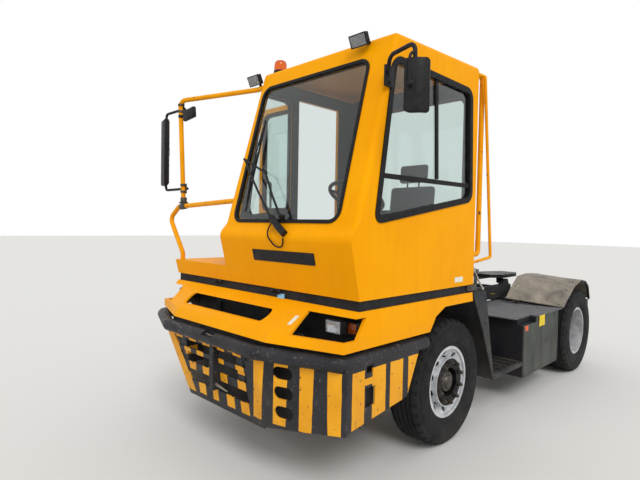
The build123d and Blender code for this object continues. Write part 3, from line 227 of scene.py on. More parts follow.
def bumperYellow(paint):
    # 1 where the bumper is yellow, else 0.
    marks = bumperMarks
    wobble = paint.times(paint.maths("SUBTRACT", paint.noise(14, 3), 0.5), 0.008)
    x, y, z = (paint.maths("ADD", way, wobble) for way in (paint.x, paint.y, paint.z))
    drop = paint.maths("SUBTRACT", marks["facetTop"], z)
    facet = paint.anyOf([paint.inside(paint.maths("MULTIPLY_ADD", drop, lean, x), low, high)
                         for low, high, lean in marks["facet"]])
    facet = paint.times(facet, paint.inside(z, *marks["facetHeight"]), paint.under(paint.x, marks["corner"]))
    side = [paint.inside(y, atY(low), atY(high)) for low, high in marks["side"]]
    side.append(paint.times(paint.inside(y, *marks["crossBar"][0]), paint.inside(z, *marks["crossBar"][1])))
    side = paint.times(paint.anyOf(side), paint.inside(z, *marks["sideHeight"]),
                       paint.over(paint.x, marks["corner"]))
    end = marks["rightEnd"]
    slant = paint.maths("MULTIPLY_ADD", paint.maths("SUBTRACT", end["top"], z), end["lean"], x)
    rightEnd = paint.times(paint.under(slant, end["x"]), paint.inside(z, *end["height"]))
    dashes = []
    for height, starts in marks["dashes"]:
        across = paint.anyOf([paint.inside(x, start, start + marks["dashWidth"]) for start in starts])
        dashes.append(paint.times(across, paint.inside(z, *height)))
    offPost = paint.maths("SUBTRACT", 1.0, paint.inside(paint.x, *marks["towPost"]))
    barFront = paint.times(paint.under(paint.y, marks["dashesAhead"]), offPost)
    grille = paint.times(paint.anyOf(dashes), barFront)
    return paint.anyOf([facet, side, rightEnd, grille])


def bumperPaint():
    paint = Paint("bumperPaint", linear(62, 63, 68))
    yellowHere = bumperYellow(paint)
    chips = paint.patches(26, 6, (0.63, 0.0), (0.66, 1.0), rough=0.65)
    scratches = paint.patches(14, 3, (0.7, 0.0), (0.72, 0.8), stretch=(1, 1, 0.12))
    gone = paint.maths("MAXIMUM", chips, scratches)
    yellowHere = paint.times(yellowHere, paint.maths("SUBTRACT", 1.0, gone))
    dull = paint.patches(5, 5, (0.3, linear(222, 150, 20)), (0.7, linear(240, 170, 30)))
    steel = paint.patches(6, 6, (0.3, linear(30, 31, 35)), (0.7, linear(50, 50, 54)))
    bare = paint.patches(40, 4, (0.62, 0.0), (0.7, 0.6))
    steel = paint.mix(bare, steel, linear(112, 100, 92))
    # the tube along the top is rubbed more than the plate
    rubbed = paint.patches(11, 7, (0.6, 0.0), (0.66, 0.5), stretch=(0.4, 1, 1), rough=0.7)
    steel = paint.mix(paint.times(rubbed, paint.over(paint.z, 0.905)), steel, linear(112, 106, 100))
    paint.put("Base Color", paint.dust(paint.mix(yellowHere, steel, dull), 1.0, 0.25))
    paint.put("Roughness", paint.patches(12, 5, (0.3, 0.36), (0.7, 0.62)))
    paint.bump(paint.noise(24, 6), 0.25, 0.004)
    return paint.material


def darkSteel(name, low, high, rust, dusty, roughness):
    paint = Paint(name, linear(*low), roughness)
    colour = paint.patches(7, 6, (0.3, linear(*low)), (0.72, linear(*high)))
    rusty = paint.patches(16, 7, (0.6, 0.0), (0.7, rust), rough=0.7)
    colour = paint.mix(rusty, colour, linear(112, 74, 50))
    paint.put("Base Color", paint.dust(colour, 1.2, dusty))
    paint.put("Roughness", paint.patches(13, 4, (0.3, roughness - 0.12), (0.7, roughness + 0.2)))
    paint.bump(paint.noise(45, 5), 0.15, 0.002)
    return paint.material


def simplePaint(name, low, high, roughness=0.5, metallic=0.0, scale=9.0, bump=0.1):
    paint = Paint(name, linear(*low), roughness, metallic)
    paint.put("Base Color", paint.patches(scale, 5, (0.3, linear(*low)), (0.7, linear(*high))))
    smoother, rougher = max(0.04, roughness - 0.08), min(1.0, roughness + 0.1)
    paint.put("Roughness", paint.patches(scale * 1.7, 4, (0.3, smoother), (0.7, rougher)))
    if bump:
        paint.bump(paint.noise(scale * 5, 4), bump, 0.002)
    return paint.material


def tyreRubber():
    paint = Paint("tyreRubber", linear(24, 25, 27), 0.8)
    colour = paint.patches(8, 6, (0.3, linear(19, 20, 22)), (0.72, linear(36, 36, 37)))
    paint.put("Base Color", paint.dust(colour, 0.9, 0.2, linear(92, 87, 80)))
    paint.put("Roughness", paint.patches(20, 4, (0.3, 0.68), (0.7, 0.92)))
    paint.bump(paint.noise(120, 3), 0.3, 0.0015)
    return paint.material


def wheelMetal(name, centreY, naveRadius, naveColours, discColours, dish=None, shadedVents=None):
    # Silver disc outside the nave's radius, dark inside it.
    paint = Paint(name, linear(190, 192, 194), 0.4, 0.35)
    fromY = paint.maths("SUBTRACT", paint.y, centreY)
    fromZ = paint.maths("SUBTRACT", paint.z, wheelZ)
    radius = paint.maths("SQRT", paint.maths("ADD", paint.times(fromY, fromY), paint.times(fromZ, fromZ)))
    offMiddle = paint.maths("ABSOLUTE", paint.x)
    disc = paint.patches(12, 6, (0.32, linear(*discColours[0])), (0.7, linear(*discColours[1])))
    nave = paint.patches(14, 6, (0.35, linear(*naveColours[0])), (0.72, linear(*naveColours[1])))
    grime = paint.patches(30, 6, (0.56, 0.0), (0.72, 0.55), rough=0.7)
    disc = paint.mix(grime, disc, linear(118, 104, 88))
    inner = paint.under(radius, naveRadius)
    if dish:
        # the deep dish behind the nave is dark too
        dishRadius, dishX = dish
        deep = paint.times(paint.under(offMiddle, dishX), paint.under(radius, dishRadius))
        inner = paint.maths("MAXIMUM", inner, deep)
    colour = paint.mix(inner, disc, nave)
    if shadedVents:
        # ten vent holes run on into the side of the nave; they are painted shade, near-black ovals on the
        # metal
        ventX, ventHalf = shadedVents
        turn = paint.times(paint.maths("ARCTAN2", fromZ, fromY), 10 / math.tau)
        around = paint.maths("SUBTRACT", paint.maths("FRACT", paint.maths("ADD", turn, 20.0)), 0.5)
        along = paint.maths("SUBTRACT", offMiddle, ventX)
        ventShade = paint.oval(paint.times(around, 1 / 0.2), paint.times(along, 1 / ventHalf))
        ventShade = paint.times(ventShade, paint.inside(radius, 0.200, 0.2065))
        colour = paint.mix(ventShade, colour, linear(10, 10, 11))
    paint.put("Base Color", colour)
    paint.put("Roughness", paint.patches(18, 4, (0.3, 0.34), (0.7, 0.6)))
    paint.bump(paint.noise(60, 4), 0.12, 0.001)
    return paint.material


def windowGlass():
    paint = Paint("windowGlass", (0.80, 0.88, 0.86, 1))
    paint.put("Transmission Weight", 1.0)
    paint.put("IOR", 1.45)
    paint.put("Roughness", paint.patches(4, 6, (0.4, 0.01), (0.8, 0.06)))
    return paint.material


def lampGlass(name, colour, roughness=0.08):
    paint = Paint(name, colour, roughness)
    paint.put("Transmission Weight", 0.85)
    paint.put("IOR", 1.45)
    ribs = paint.node("ShaderNodeTexWave", {"Vector": paint.place, "Scale": 38.0}, bands_direction="X")
    paint.bump(ribs.outputs["Fac"], 0.2, 0.002)
    return paint.material


def boxPanel():
    # Grey-green side plate with a dark face towards the step and a paler, mottled lid.
    paint = Paint("boxPanel", linear(75, 80, 75), 0.6)
    plateX, lidZ = 1.21, 0.868
    colour = paint.patches(5, 6, (0.3, linear(54, 58, 55)), (0.7, linear(80, 84, 79)), stretch=(1, 1, 0.5))
    colour = paint.mix(paint.under(paint.x, plateX), colour, linear(25, 27, 34))
    lid = paint.patches(16, 5, (0.35, linear(84, 85, 88)), (0.7, linear(106, 106, 108)))
    colour = paint.mix(paint.over(paint.z, lidZ), colour, lid)
    paint.put("Base Color", paint.dust(colour, 1.0, 0.2))
    paint.put("Roughness", 0.62)
    paint.bump(paint.noise(26, 5), 0.2, 0.002)
    return paint.material


def mudguardSteel():
    paint = Paint("mudguardSteel", linear(84, 78, 74), 0.55, 0.3)
    colour = paint.patches(5, 7, (0.3, linear(96, 92, 86)), (0.5, linear(134, 127, 116)),
                           (0.72, linear(158, 149, 136)), rough=0.65)
    rust = paint.patches(9, 7, (0.58, 0.0), (0.72, 0.55), rough=0.7)
    colour = paint.mix(rust, colour, linear(118, 78, 54))
    # black lip of the flare, and a dark oval ahead of the wheel that is painted shade of a hollow there
    lip = paint.times(paint.over(paint.maths("ABSOLUTE", paint.x), 1.229), paint.over(paint.y, atY(3.13)))
    across = paint.times(paint.maths("SUBTRACT", paint.y, atY(2.63)), 20.0)
    above = paint.times(paint.maths("SUBTRACT", paint.z, 1.15), 33.0)
    holeShade = paint.times(paint.oval(across, above), paint.over(paint.x, 1.0))
    colour = paint.mix(paint.maths("MAXIMUM", lip, holeShade), colour, linear(26, 25, 25))
    paint.put("Base Color", colour)
    paint.put("Roughness", paint.patches(12, 4, (0.3, 0.45), (0.7, 0.75)))
    paint.bump(paint.noise(30, 6), 0.25, 0.003)
    return paint.material


def seatCloth():
    paint = Paint("seatCloth", linear(52, 54, 60), 0.9)
    weave = paint.node("ShaderNodeTexVoronoi", {"Vector": paint.place, "Scale": 320.0}).outputs["Distance"]
    threads = paint.ramp(weave, (0.2, 0.0), (0.7, 1.0))
    paint.put("Base Color", paint.mix(threads, linear(40, 42, 48), linear(74, 76, 84)))
    paint.put("Sheen Weight", 0.3)
    paint.bump(weave, 0.4, 0.001)
    return paint.material


cabYellow = yellowPaint("cabYellow", lining=True)
deckYellow = yellowPaint("deckYellow", lining=True, blackBelow=1.331)
railYellow = railPaint()
frameBlack = darkSteel("darkSteel", (34, 35, 38), (52, 53, 56), 0.35, 0.5, 0.55)
panelDark = darkSteel("panelDark", (38, 40, 43), (58, 60, 62), 0.2, 0.5, 0.6)
greasyIron = darkSteel("greasyIron", (12, 12, 13), (30, 28, 26), 0.12, 0.1, 0.35)
boxSteel = boxPanel()
bareSteel = mudguardSteel()
coreDark = simplePaint("coreDark", (26, 27, 28), (44, 44, 44), 0.7)
trimBlack = simplePaint("trimBlack", (18, 18, 20), (34, 34, 36), scale=20.0, bump=0.12)
sealRubber = simplePaint("sealRubber", (14, 14, 15), (26, 26, 27), 0.6, scale=14.0)
seatFabric = seatCloth()
amber = lampGlass("amberLens", (0.9, 0.16, 0.01, 1))
redLens = lampGlass("redLens", (0.6, 0.01, 0.01, 1))
clearLens = lampGlass("clearLens", (0.92, 0.94, 0.95, 1), 0.04)
reflector = simplePaint("reflector", (200, 204, 208), (228, 230, 232), 0.12, 1.0, 12.0, 0.0)
lampMesh = simplePaint("lampMesh", (46, 48, 52), (84, 86, 90), 0.35, 0.6, 60.0)
tyreBlack = tyreRubber()
mirrorGlass = simplePaint("mirrorGlass", (196, 202, 208), (214, 220, 226), 0.03, 1.0, 6.0, 0.0)
nutSteel = simplePaint("nutSteel", (58, 56, 54), (104, 98, 90), 0.45, 0.7, 30.0)
boltSteel = simplePaint("boltSteel", (44, 44, 46), (78, 76, 72), 0.5, 0.5, 30.0)
palePaint = simplePaint("palePaint", (160, 158, 148), (186, 184, 174))
paleBlue = simplePaint("paleBlue", (110, 170, 206), (140, 190, 220))
paleWhite = simplePaint("paleWhite", (214, 216, 200), (232, 233, 216))
signYellow = simplePaint("signYellow", (220, 190, 24), (240, 208, 40))
markerOrange = simplePaint("markerOrange", (220, 82, 40), (236, 100, 52), 0.4)
frontWheelMetal = wheelMetal("frontWheelMetal", axleY, 0.1965, ((18, 18, 20), (38, 37, 36)),
                             ((176, 178, 182), (222, 224, 226)), shadedVents=(1.104, 0.017))
rearWheelMetal = wheelMetal("rearWheelMetal", rearAxleY, 0.215, ((30, 28, 28), (62, 54, 48)),
                            ((164, 165, 168), (212, 213, 214)), dish=(0.268, 0.985))

# one finish for each of the record's slots, and the nodes that have their own
finishes = {
    "body_yellow": yellowPaint("yellowPaint"),
    "bumper_steel": bumperPaint(),
    "frame_black": frameBlack,
    "panel_dark": panelDark,
    "band_rubber": simplePaint("bandRubber", (26, 27, 29), (42, 43, 45), 0.75),
    "lamp_lens": clearLens,
    "core_dark": coreDark,
    "engine_grey": simplePaint("engineGrey", (50, 52, 54), (82, 80, 76), 0.6, 0.2),
    "bare_steel": bareSteel,
    "window_glass": windowGlass(),
    "trim_black": trimBlack,
    "seat_fabric": seatFabric,
    "amber_lens": amber,
    "tyre_rubber": tyreBlack,
    "rim_silver": frontWheelMetal,
    "greasy_iron": greasyIron,
    "rod_chrome": simplePaint("rodChrome", (190, 192, 196), (214, 216, 218), 0.12, 1.0, 12.0, 0.0),
}
special = {
    "cab_front": cabYellow, "cab_left_wall": cabYellow, "cab_right_wall": cabYellow,
    "cab_rear_wall": cabYellow, "cab_roof": cabYellow, "cab_floor": deckYellow, "side_deck": deckYellow,
    "handrails": railYellow, "grab_rails": railYellow, "side_box_left": boxSteel,
    "rims_rear_left": rearWheelMetal, "rims_rear_right": rearWheelMetal,
}
for part in frame["record"]["subparts"]:
    mesh = cad[part["node"]].data
    mesh.materials.clear()
    mesh.materials.append(special.get(part["node"], finishes[part["material_slot"]]))
print("materials done")


# Modelling helpers. Every shape is made in its own bmesh and then joined to its piece with a material number.

def join(piece, shape, skin=0):
    for face in shape.faces:
        face.material_index = skin
    mesh = bpy.data.meshes.new("shape")
    shape.to_mesh(mesh)
    shape.free()
    piece.from_mesh(mesh)
    bpy.data.meshes.remove(mesh)


def turned(matrix, shape):
    bmesh.ops.transform(shape, matrix=matrix, verts=shape.verts)
    return shape


def onSide(side, shape):
    # A shape made for the left stays, or is mirrored to the right.
    if side < 0:
        turned(Matrix.Scale(-1, 4, (1, 0, 0)), shape)
        bmesh.ops.recalc_face_normals(shape, faces=shape.faces)
    return shape


def bevelled(shape, geometry, width, segments=2, affect="EDGES"):
    bmesh.ops.bevel(shape, geom=geometry, offset=width, offset_type="OFFSET", affect=affect,
                    segments=segments, profile=0.5, material=-1)
    return shape


def box(low, high, soft, segments=2):
    shape = bmesh.new()
    low, high = Vector(low), Vector(high)
    matrix = Matrix.Translation((low + high) / 2) @ Matrix.Diagonal((*(high - low), 1))
    bmesh.ops.create_cube(shape, size=1, matrix=matrix)
    return bevelled(shape, shape.edges[:], soft, segments)


def addBoxes(piece, rows):
    for low, high, soft in rows:
        join(piece, box(low, high, soft))


def rod(start, end, radius, endRadius=None, sides=20, soft=0.0):
    shape = bmesh.new()
    start, end = Vector(start), Vector(end)
    run = end - start
    matrix = Matrix.Translation((start + end) / 2) @ run.to_track_quat("Z", "Y").to_matrix().to_4x4()
    bmesh.ops.create_cone(shape, cap_ends=True, segments=sides, radius1=radius,
                          radius2=radius if endRadius is None else endRadius, depth=run.length, matrix=matrix)
    if soft:
        rims = [e for e in shape.edges if any(len(f.verts) > 4 for f in e.link_faces)]
        bevelled(shape, rims, soft)
    return shape


def spun(profile, centre, axis="X", steps=64):
    # Closed profile of (along the axis, radius) turned about it.
    shape = bmesh.new()
    along = {"X": Vector((1, 0, 0)), "Y": Vector((0, 1, 0)), "Z": Vector((0, 0, 1))}[axis]
    outward = Vector((0, 0, 1)) if axis != "Z" else Vector((1, 0, 0))
    centre = Vector(centre)
    verts = [shape.verts.new(centre + along * a + outward * r) for a, r in profile]
    edges = [shape.edges.new(pair) for pair in zip(verts, verts[1:] + verts[:1])]
    bmesh.ops.spin(shape, geom=verts + edges, cent=centre, axis=along, angle=math.tau, steps=steps,
                   use_merge=True)
    bmesh.ops.remove_doubles(shape, verts=shape.verts, dist=0.00005)
    bmesh.ops.recalc_face_normals(shape, faces=shape.faces)
    return shape


def ball(centre, radius):
    shape = bmesh.new()
    bmesh.ops.create_uvsphere(shape, u_segments=24, v_segments=14, radius=radius,
                              matrix=Matrix.Translation(centre))
    return shape


def tube(points, radius, bend=0.03, sides=12, closed=False):
    # Bent tube. The corners are rounded by a Bezier curve's own handles.
    data = bpy.data.curves.new("tube", "CURVE")
    data.dimensions = "3D"
    data.bevel_depth = radius
    data.bevel_resolution = max(1, sides // 4)
    data.use_fill_caps = not closed
    points = [Vector(p) for p in points]
    knots = []
    for number, point in enumerate(points):
        if not closed and number in (0, len(points) - 1):
            knots.append((point, point, point))
            continue
        before = points[number - 1] - point
        after = points[(number + 1) % len(points)] - point
        reach = min(bend, before.length * 0.45, after.length * 0.45)
        start = point + before.normalized() * reach
        end = point + after.normalized() * reach
        knots.append((start, start, start + (point - start) * 0.55))
        knots.append((end, end + (point - end) * 0.55, end))
    spline = data.splines.new("BEZIER")
    spline.bezier_points.add(len(knots) - 1)
    for knot, (place, left, right) in zip(spline.bezier_points, knots):
        knot.co = place
        knot.handle_left = left
        knot.handle_right = right
    spline.use_cyclic_u = closed
    spline.resolution_u = 6
    holder = bpy.data.objects.new("tube", data)
    mesh = bpy.data.meshes.new_from_object(holder)
    shape = bmesh.new()
    shape.from_mesh(mesh)
    bmesh.ops.remove_doubles(shape, verts=shape.verts, dist=0.00005)
    bmesh.ops.recalc_face_normals(shape, faces=shape.faces)
    bpy.data.objects.remove(holder)
    bpy.data.curves.remove(data)
    bpy.data.meshes.remove(mesh)
    return shape


def flat(corners, matrix, rounding, segments=6):
    # Flat face with round corners, in a plane's own (across, up) coordinates.
    shape = bmesh.new()
    shape.faces.new([shape.verts.new((u, v, 0)) for u, v in corners])
    bevelled(shape, shape.verts[:], rounding, segments, "VERTICES")
    return turned(matrix, shape)


def facing(matrix):
    return (matrix.to_3x3() @ Vector((0, 0, 1))).normalized()


def thicken(shape, move):
    # Pull a flat shape out along a vector, closed all round.
    made = bmesh.ops.extrude_face_region(shape, geom=shape.faces[:], use_keep_orig=True)
    moved = [v for v in made["geom"] if isinstance(v, bmesh.types.BMVert)]
    bmesh.ops.translate(shape, vec=move, verts=moved)
    bmesh.ops.recalc_face_normals(shape, faces=shape.faces)
    return shape


def sheet(corners, move):
    # Plate from its corners in space.
    shape = bmesh.new()
    shape.faces.new([shape.verts.new(corner) for corner in corners])
    return thicken(shape, move)


def plate(corners, matrix, thick, rounding):
    return thicken(flat(corners, matrix, rounding, 4), facing(matrix) * thick)


def rim(corners, matrix, rounding, lip, width, thick):
    # Ring that follows a window's outline, reaching lip beyond it and width across.
    acrossAll, upAll = [u for u, v in corners], [v for u, v in corners]
    centreU, centreV = sum(acrossAll) / len(corners), sum(upAll) / len(corners)
    growU = 1 + 2 * lip / (max(acrossAll) - min(acrossAll))
    growV = 1 + 2 * lip / (max(upAll) - min(upAll))
    grown = [(centreU + (u - centreU) * growU, centreV + (v - centreV) * growV) for u, v in corners]
    shape = flat(grown, Matrix.Identity(4), rounding + lip)
    bmesh.ops.inset_region(shape, faces=shape.faces[:], thickness=width, use_even_offset=True,
                           use_boundary=True)
    middle = [f for f in shape.faces if len(f.verts) > 4]
    bmesh.ops.delete(shape, geom=middle, context="FACES")
    return thicken(turned(matrix, shape), facing(matrix) * thick)


def finish(piece, name, body, materials, replaces=(), smooth=40):
    mesh = bpy.data.meshes.new(name)
    piece.to_mesh(mesh)
    piece.free()
    for material in materials:
        mesh.materials.append(material)
    mesh.polygons.foreach_set("use_smooth", [True] * len(mesh.polygons))
    mesh.set_sharp_from_angle(angle=math.radians(smooth))
    made = bpy.data.objects.new(name, mesh)
    bpy.context.scene.collection.objects.link(made)
    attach(made, body)
    if replaces:
        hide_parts(*replaces)
    return made


def sidePlane(x, sign=1):
    # Across is back along the vehicle, up is up, facing the side.
    return Matrix(((0, 0, sign, x), (1, 0, 0, 0), (0, 1, 0, 0), (0, 0, 0, 1)))


def crossPlane(y, sign):
    # Across is to the left, up is up, facing forwards at -1 and backwards at 1.
    return Matrix(((1, 0, 0, 0), (0, 0, sign, y), (0, 1, 0, 0), (0, 0, 0, 1)))


def sloped(foot, top):
    # Plane from the foot, leaning back to the top, facing forwards. Both are (Y, Z).
    up = Vector((0, top[0] - foot[0], top[1] - foot[1])).normalized()
    out = Vector((0, -up.z, up.y))
    return Matrix(((1, 0, out.x, 0), (0, up.y, out.y, foot[0]), (0, up.z, out.z, foot[1]), (0, 0, 0, 1)))


# Windows: rubber seals, and the bars of the sliding side window

windows = {
    "screenFoot": (atY(-1.322), 1.790),
    "screenTop": (atY(-0.925), 3.142),
    "screen": [(-0.100, 0.062), (1.045, 0.062), (1.012, 1.240), (-0.135, 1.240)],
    "left": [(atY(-1.130), 1.840), (atY(0.170), 2.050), (atY(0.130), 2.962), (atY(-0.957), 2.966)],
    "right": [(atY(-1.095), 1.870), (atY(-0.610), 1.945), (atY(-0.610), 2.962), (atY(-0.957), 2.966)],
    "rear": [(-0.120, 1.960), (1.110, 1.960), (1.110, 2.950), (-0.120, 2.950)],
    "rounding": 0.075,
}
screenPlane = sloped(windows["screenFoot"], windows["screenTop"])


def onScreen(u, v, lift=0.0):
    return screenPlane @ Vector((u, v, lift))


seals = (  # window, its plane, reach beyond it, width, thickness
    ("screen", screenPlane @ Matrix.Translation((0, 0, -0.022)), 0.022, 0.026, 0.030),
    ("left", sidePlane(1.198), 0.014, 0.045, 0.030),
    ("right", sidePlane(-0.206, -1), 0.012, 0.030, 0.027),
    ("rear", crossPlane(atY(0.232), 1), 0.012, 0.030, 0.026),
)
piece = bmesh.new()
for window, plane, lip, width, thick in seals:
    join(piece, rim(windows[window], plane, windows["rounding"], lip, width, thick))
finish(piece, "windowSeals", "cab", [sealRubber])

bars = {"x": 1.1985, "low": [(atY(-1.100), 2.156), (atY(0.140), 2.171)],
        "post": [(atY(-0.407), 2.944), (atY(-0.369), 2.186)], "width": 0.034, "thick": 0.018}
half = bars["width"] / 2
piece = bmesh.new()
for ((y0, z0), (y1, z1)), dy, dz in ((bars["low"], 0, half), (bars["post"], half, 0)):
    corners = [(y0 - dy, z0 - dz), (y1 - dy, z1 - dz), (y1 + dy, z1 + dz), (y0 + dy, z0 + dz)]
    join(piece, plate(corners, sidePlane(bars["x"]), bars["thick"], 0.004))
finish(piece, "leftWindowBars", "cab", [sealRubber])

door = {"face": atY(-0.508), "back": atY(-0.474), "pullX": -0.72,
        "pull": ((0.002, 1.78), (0.055, 1.78), (0.055, 2.25), (0.002, 2.25)),
        "window": [(-0.740, 1.960), (-0.314, 1.960), (-0.314, 2.923), (-0.740, 2.923)],
        "edge": [(-0.800, 1.492), (-0.254, 1.492), (-0.254, 2.983), (-0.800, 2.983)]}
face, back = door["face"], door["back"]
piece = bmesh.new()
for y in (face, back):
    join(piece, rim(door["window"], crossPlane(y + 0.006, -1), windows["rounding"], 0.012, 0.032, 0.012))
join(piece, rim(door["edge"], crossPlane(back + 0.010, -1), 0.02, 0.0, 0.016, 0.011))
join(piece, tube([(door["pullX"], back + out, z) for out, z in door["pull"]], 0.013))
join(piece, box((-0.775, face - 0.014, 1.70), (-0.675, face + 0.002, 1.76), 0.004))
join(piece, rod((-0.725, face - 0.03, 1.73), (-0.725, face, 1.73), 0.017))
finish(piece, "doorTrim", "right_door", [sealRubber])
print("windows done")


# Tyres: grooved tread with cut shoulders and moulded sidewall rings

tyre = {
    "radius": 0.522, "half": 0.1475, "tread": 0.116, "depth": 0.011, "steps": 108,
    "grooves": ((-0.092, -0.080), (-0.052, -0.040), (-0.006, 0.006), (0.040, 0.052), (0.080, 0.092)),
    "shoulder": (0.094, 0.1285), "lugsBeyond": 0.49, "lugDepth": 0.008,
    "frontX": 1.028, "rearX": (1.0975, 0.7675),
}


def treadTyre(centreX, centreY):
    radius, half, tread = tyre["radius"], tyre["half"], tyre["tread"]
    left = [(-0.1055, 0.286), (-0.1055, 0.2995), (-0.122, 0.3015), (-0.132, 0.312), (-0.137, 0.332),
            (-0.1415, 0.334), (-0.1445, 0.352), (-half, 0.392), (-half, 0.425), (-0.1445, 0.452),
            (-0.1405, 0.454), (-0.1385, 0.478), (-0.131, 0.498), (-0.1175, 0.512)]
    right = [(-a, b) for a, b in reversed(left)]
    ribs = [(-tread + 0.006, radius - 0.004)]
    top, bottom = radius, radius - tyre["depth"]
    for low, high in tyre["grooves"]:
        ribs += [(low, top), (low + 0.001, bottom), (high - 0.001, bottom), (high, radius - 0.0005)]
        top = radius - 0.0005
    ribs.append((tread - 0.006, radius - 0.004))
    shape = spun(left + ribs + right, (centreX, centreY, wheelZ), "X", tyre["steps"])
    # one shoulder face in three is sunk, which cuts the lugs
    near, far = tyre["shoulder"]
    lugs = []
    for face in shape.faces:
        middle = face.calc_center_median()
        up, back = middle.z - wheelZ, middle.y - centreY
        if near < abs(middle.x - centreX) < far and Vector((back, up)).length > tyre["lugsBeyond"]:
            turn = math.atan2(up, back) / math.tau * tyre["steps"]
            if int(turn + 1000) % 3 == 0:
                lugs.append(face)
    bmesh.ops.inset_region(shape, faces=lugs, thickness=0.002, depth=-tyre["lugDepth"], use_even_offset=True)
    return shape


bothSides = ((1, "left"), (-1, "right"))
for side, end in bothSides:
    piece = bmesh.new()
    join(piece, treadTyre(side * tyre["frontX"], axleY))
    finish(piece, f"frontTyre_{end}", f"wheel_front_{end}", [tyreBlack],
           (f"tyre_front_{end}",), 35)
    piece = bmesh.new()
    for x in tyre["rearX"]:
        join(piece, treadTyre(side * x, rearAxleY))
    finish(piece, f"rearTyres_{end}", f"wheel_rear_{end}", [tyreBlack],
           (f"tyres_rear_{end}",), 35)
print("tyres done")


# Wheel fittings: nuts on their studs, hub caps with bolts, and tyre valves

wheels = {
    "nutCircle": 0.1675, "nutCount": 10, "nut": 0.0185, "frontFace": 1.156, "rearFace": 0.9465,
    "cap": [(0.0, 0.0), (0.0, 0.086), (0.012, 0.086), (0.020, 0.078), (0.020, 0.060), (0.034, 0.052),
            (0.040, 0.030), (0.041, 0.0)],
    "capX": 1.122, "hubCircle": 0.112, "hubBolts": 8,
    "valve": ((1.085, 0.262), (1.13, 0.262), (1.15, 0.235)),
}


def around(centreY, radius, count, start=0.0):
    # Places (Y, Z) evenly round an axle.
    turns = [math.tau * (number + start) / count for number in range(count)]
    return [(centreY + radius * math.cos(turn), wheelZ + radius * math.sin(turn)) for turn in turns]


def wheelNuts(face, centreY, side):
    piece = bmesh.new()
    nut = wheels["nut"]
    for y, z in around(centreY, wheels["nutCircle"], wheels["nutCount"], 0.5):
        for inner, outer, radius, sides, soft in ((-0.001, 0.006, nut + 0.004, 20, 0.0),   # washer
                                                  (0.005, 0.027, nut, 6, 0.002),
                                                  (0.02, 0.038, 0.010, 12, 0.0015)):       # stud
            join(piece, rod((side * (face + inner), y, z), (side * (face + outer), y, z), radius,
                            sides=sides, soft=soft))
    return piece


for side, end in bothSides:
    piece = wheelNuts(wheels["frontFace"], axleY, side)
    join(piece, onSide(side, spun(wheels["cap"], (wheels["capX"], axleY, wheelZ))))
    valve = [(side * x, axleY + out, wheelZ + 0.02) for x, out in wheels["valve"]]
    join(piece, tube(valve, 0.005, 0.02, 8))
    finish(piece, f"frontNuts_{end}", f"wheel_front_{end}", [nutSteel])
    piece = wheelNuts(wheels["rearFace"], rearAxleY, side)
    for y, z in around(rearAxleY, wheels["hubCircle"], wheels["hubBolts"]):
        join(piece, rod((side * 1.048, y, z), (side * 1.060, y, z), 0.010, sides=6))
    finish(piece, f"rearNuts_{end}", f"wheel_rear_{end}", [nutSteel])
print("wheels done")


# Lamps in the hood's mouths and on the rear crossbar

lamps = {
    "back": atY(-1.225), "z": 1.152, "bowl": (0.124, 0.072),
    "sides": ((1, 0.975, 0.104), (-1, 0.830, 0.085)),  # side, inner X, depth
    "tail": ((0.80, 4), (0.885, 4), (0.97, 3)),  # inner X, lens
}


def lampBowl(inner, face):
    # Shallow dish behind the lens.
    width, height = lamps["bowl"]
    bowl = bmesh.new()
    middle = (inner + 0.07, face + 0.014, lamps["z"])
    place = Matrix.Translation(middle) @ Matrix.Rotation(math.pi / 2, 4, "X")
    bmesh.ops.create_grid(bowl, x_segments=8, y_segments=6, size=0.5,
                          matrix=place @ Matrix.Diagonal((width, height, 1, 1)))
    for vert in bowl.verts:
        across = (vert.co.x - inner - 0.07) / (width / 2)
        up = (vert.co.z - lamps["z"]) / (height / 2)
        vert.co.y += 0.014 * max(0.0, 1 - across * across * 0.6 - up * up * 0.6)
    bmesh.ops.solidify(bowl, geom=bowl.faces[:], thickness=0.002)
    return bowl


def lay(shape, skin=0):
    # Joins a lamp's shape to the piece, on the side in hand.
    join(piece, onSide(side, shape), skin)


piece = bmesh.new()
for side, inner, deep in lamps["sides"]:
    back = lamps["back"]
    face = back - deep
    lay(box((inner, face + 0.030, 1.108), (inner + 0.14, back, 1.196), 0.008))
    lay(lampBowl(inner, face), 1)
    lay(ball((inner + 0.07, face + 0.019, lamps["z"]), 0.008), 1)
    lay(box((inner + 0.003, face, 1.110), (inner + 0.137, face + 0.007, 1.194), 0.003), 2)
    # frame round the lens
    for x0, z0, x1, z1 in ((0, 1.106, 0.14, 1.112), (0, 1.192, 0.14, 1.198), (0, 1.106, 0.006, 1.198),
                           (0.134, 1.106, 0.14, 1.198)):
        lay(box((inner + x0, face, z0), (inner + x1, face + 0.034, z1), 0.001))
    # amber lamp beside it, and the bracket behind both
    lay(box((inner + 0.150, back - 0.036, 1.112), (inner + 0.220, back, 1.188), 0.004))
    lay(box((inner + 0.153, back - 0.050, 1.115), (inner + 0.217, back - 0.034, 1.185), 0.006), 3)
    lay(box((inner - 0.075, back - 0.010, 1.068), (inner + 0.225, back, 1.176), 0.002))
    for low, lens in lamps["tail"]:
        lay(box((low, atY(3.921), 0.702), (low + 0.082, atY(3.932), 0.798), 0.004), lens)
    lay(box((0.797, atY(3.908), 0.698), (1.058, atY(3.924), 0.802), 0.003))
finish(piece, "roadLamps", "chassis", [trimBlack, reflector, clearLens, amber, redLens],
       ("road_lamps",))
print("lamps done")


# Mirrors, roof lamps and beacon

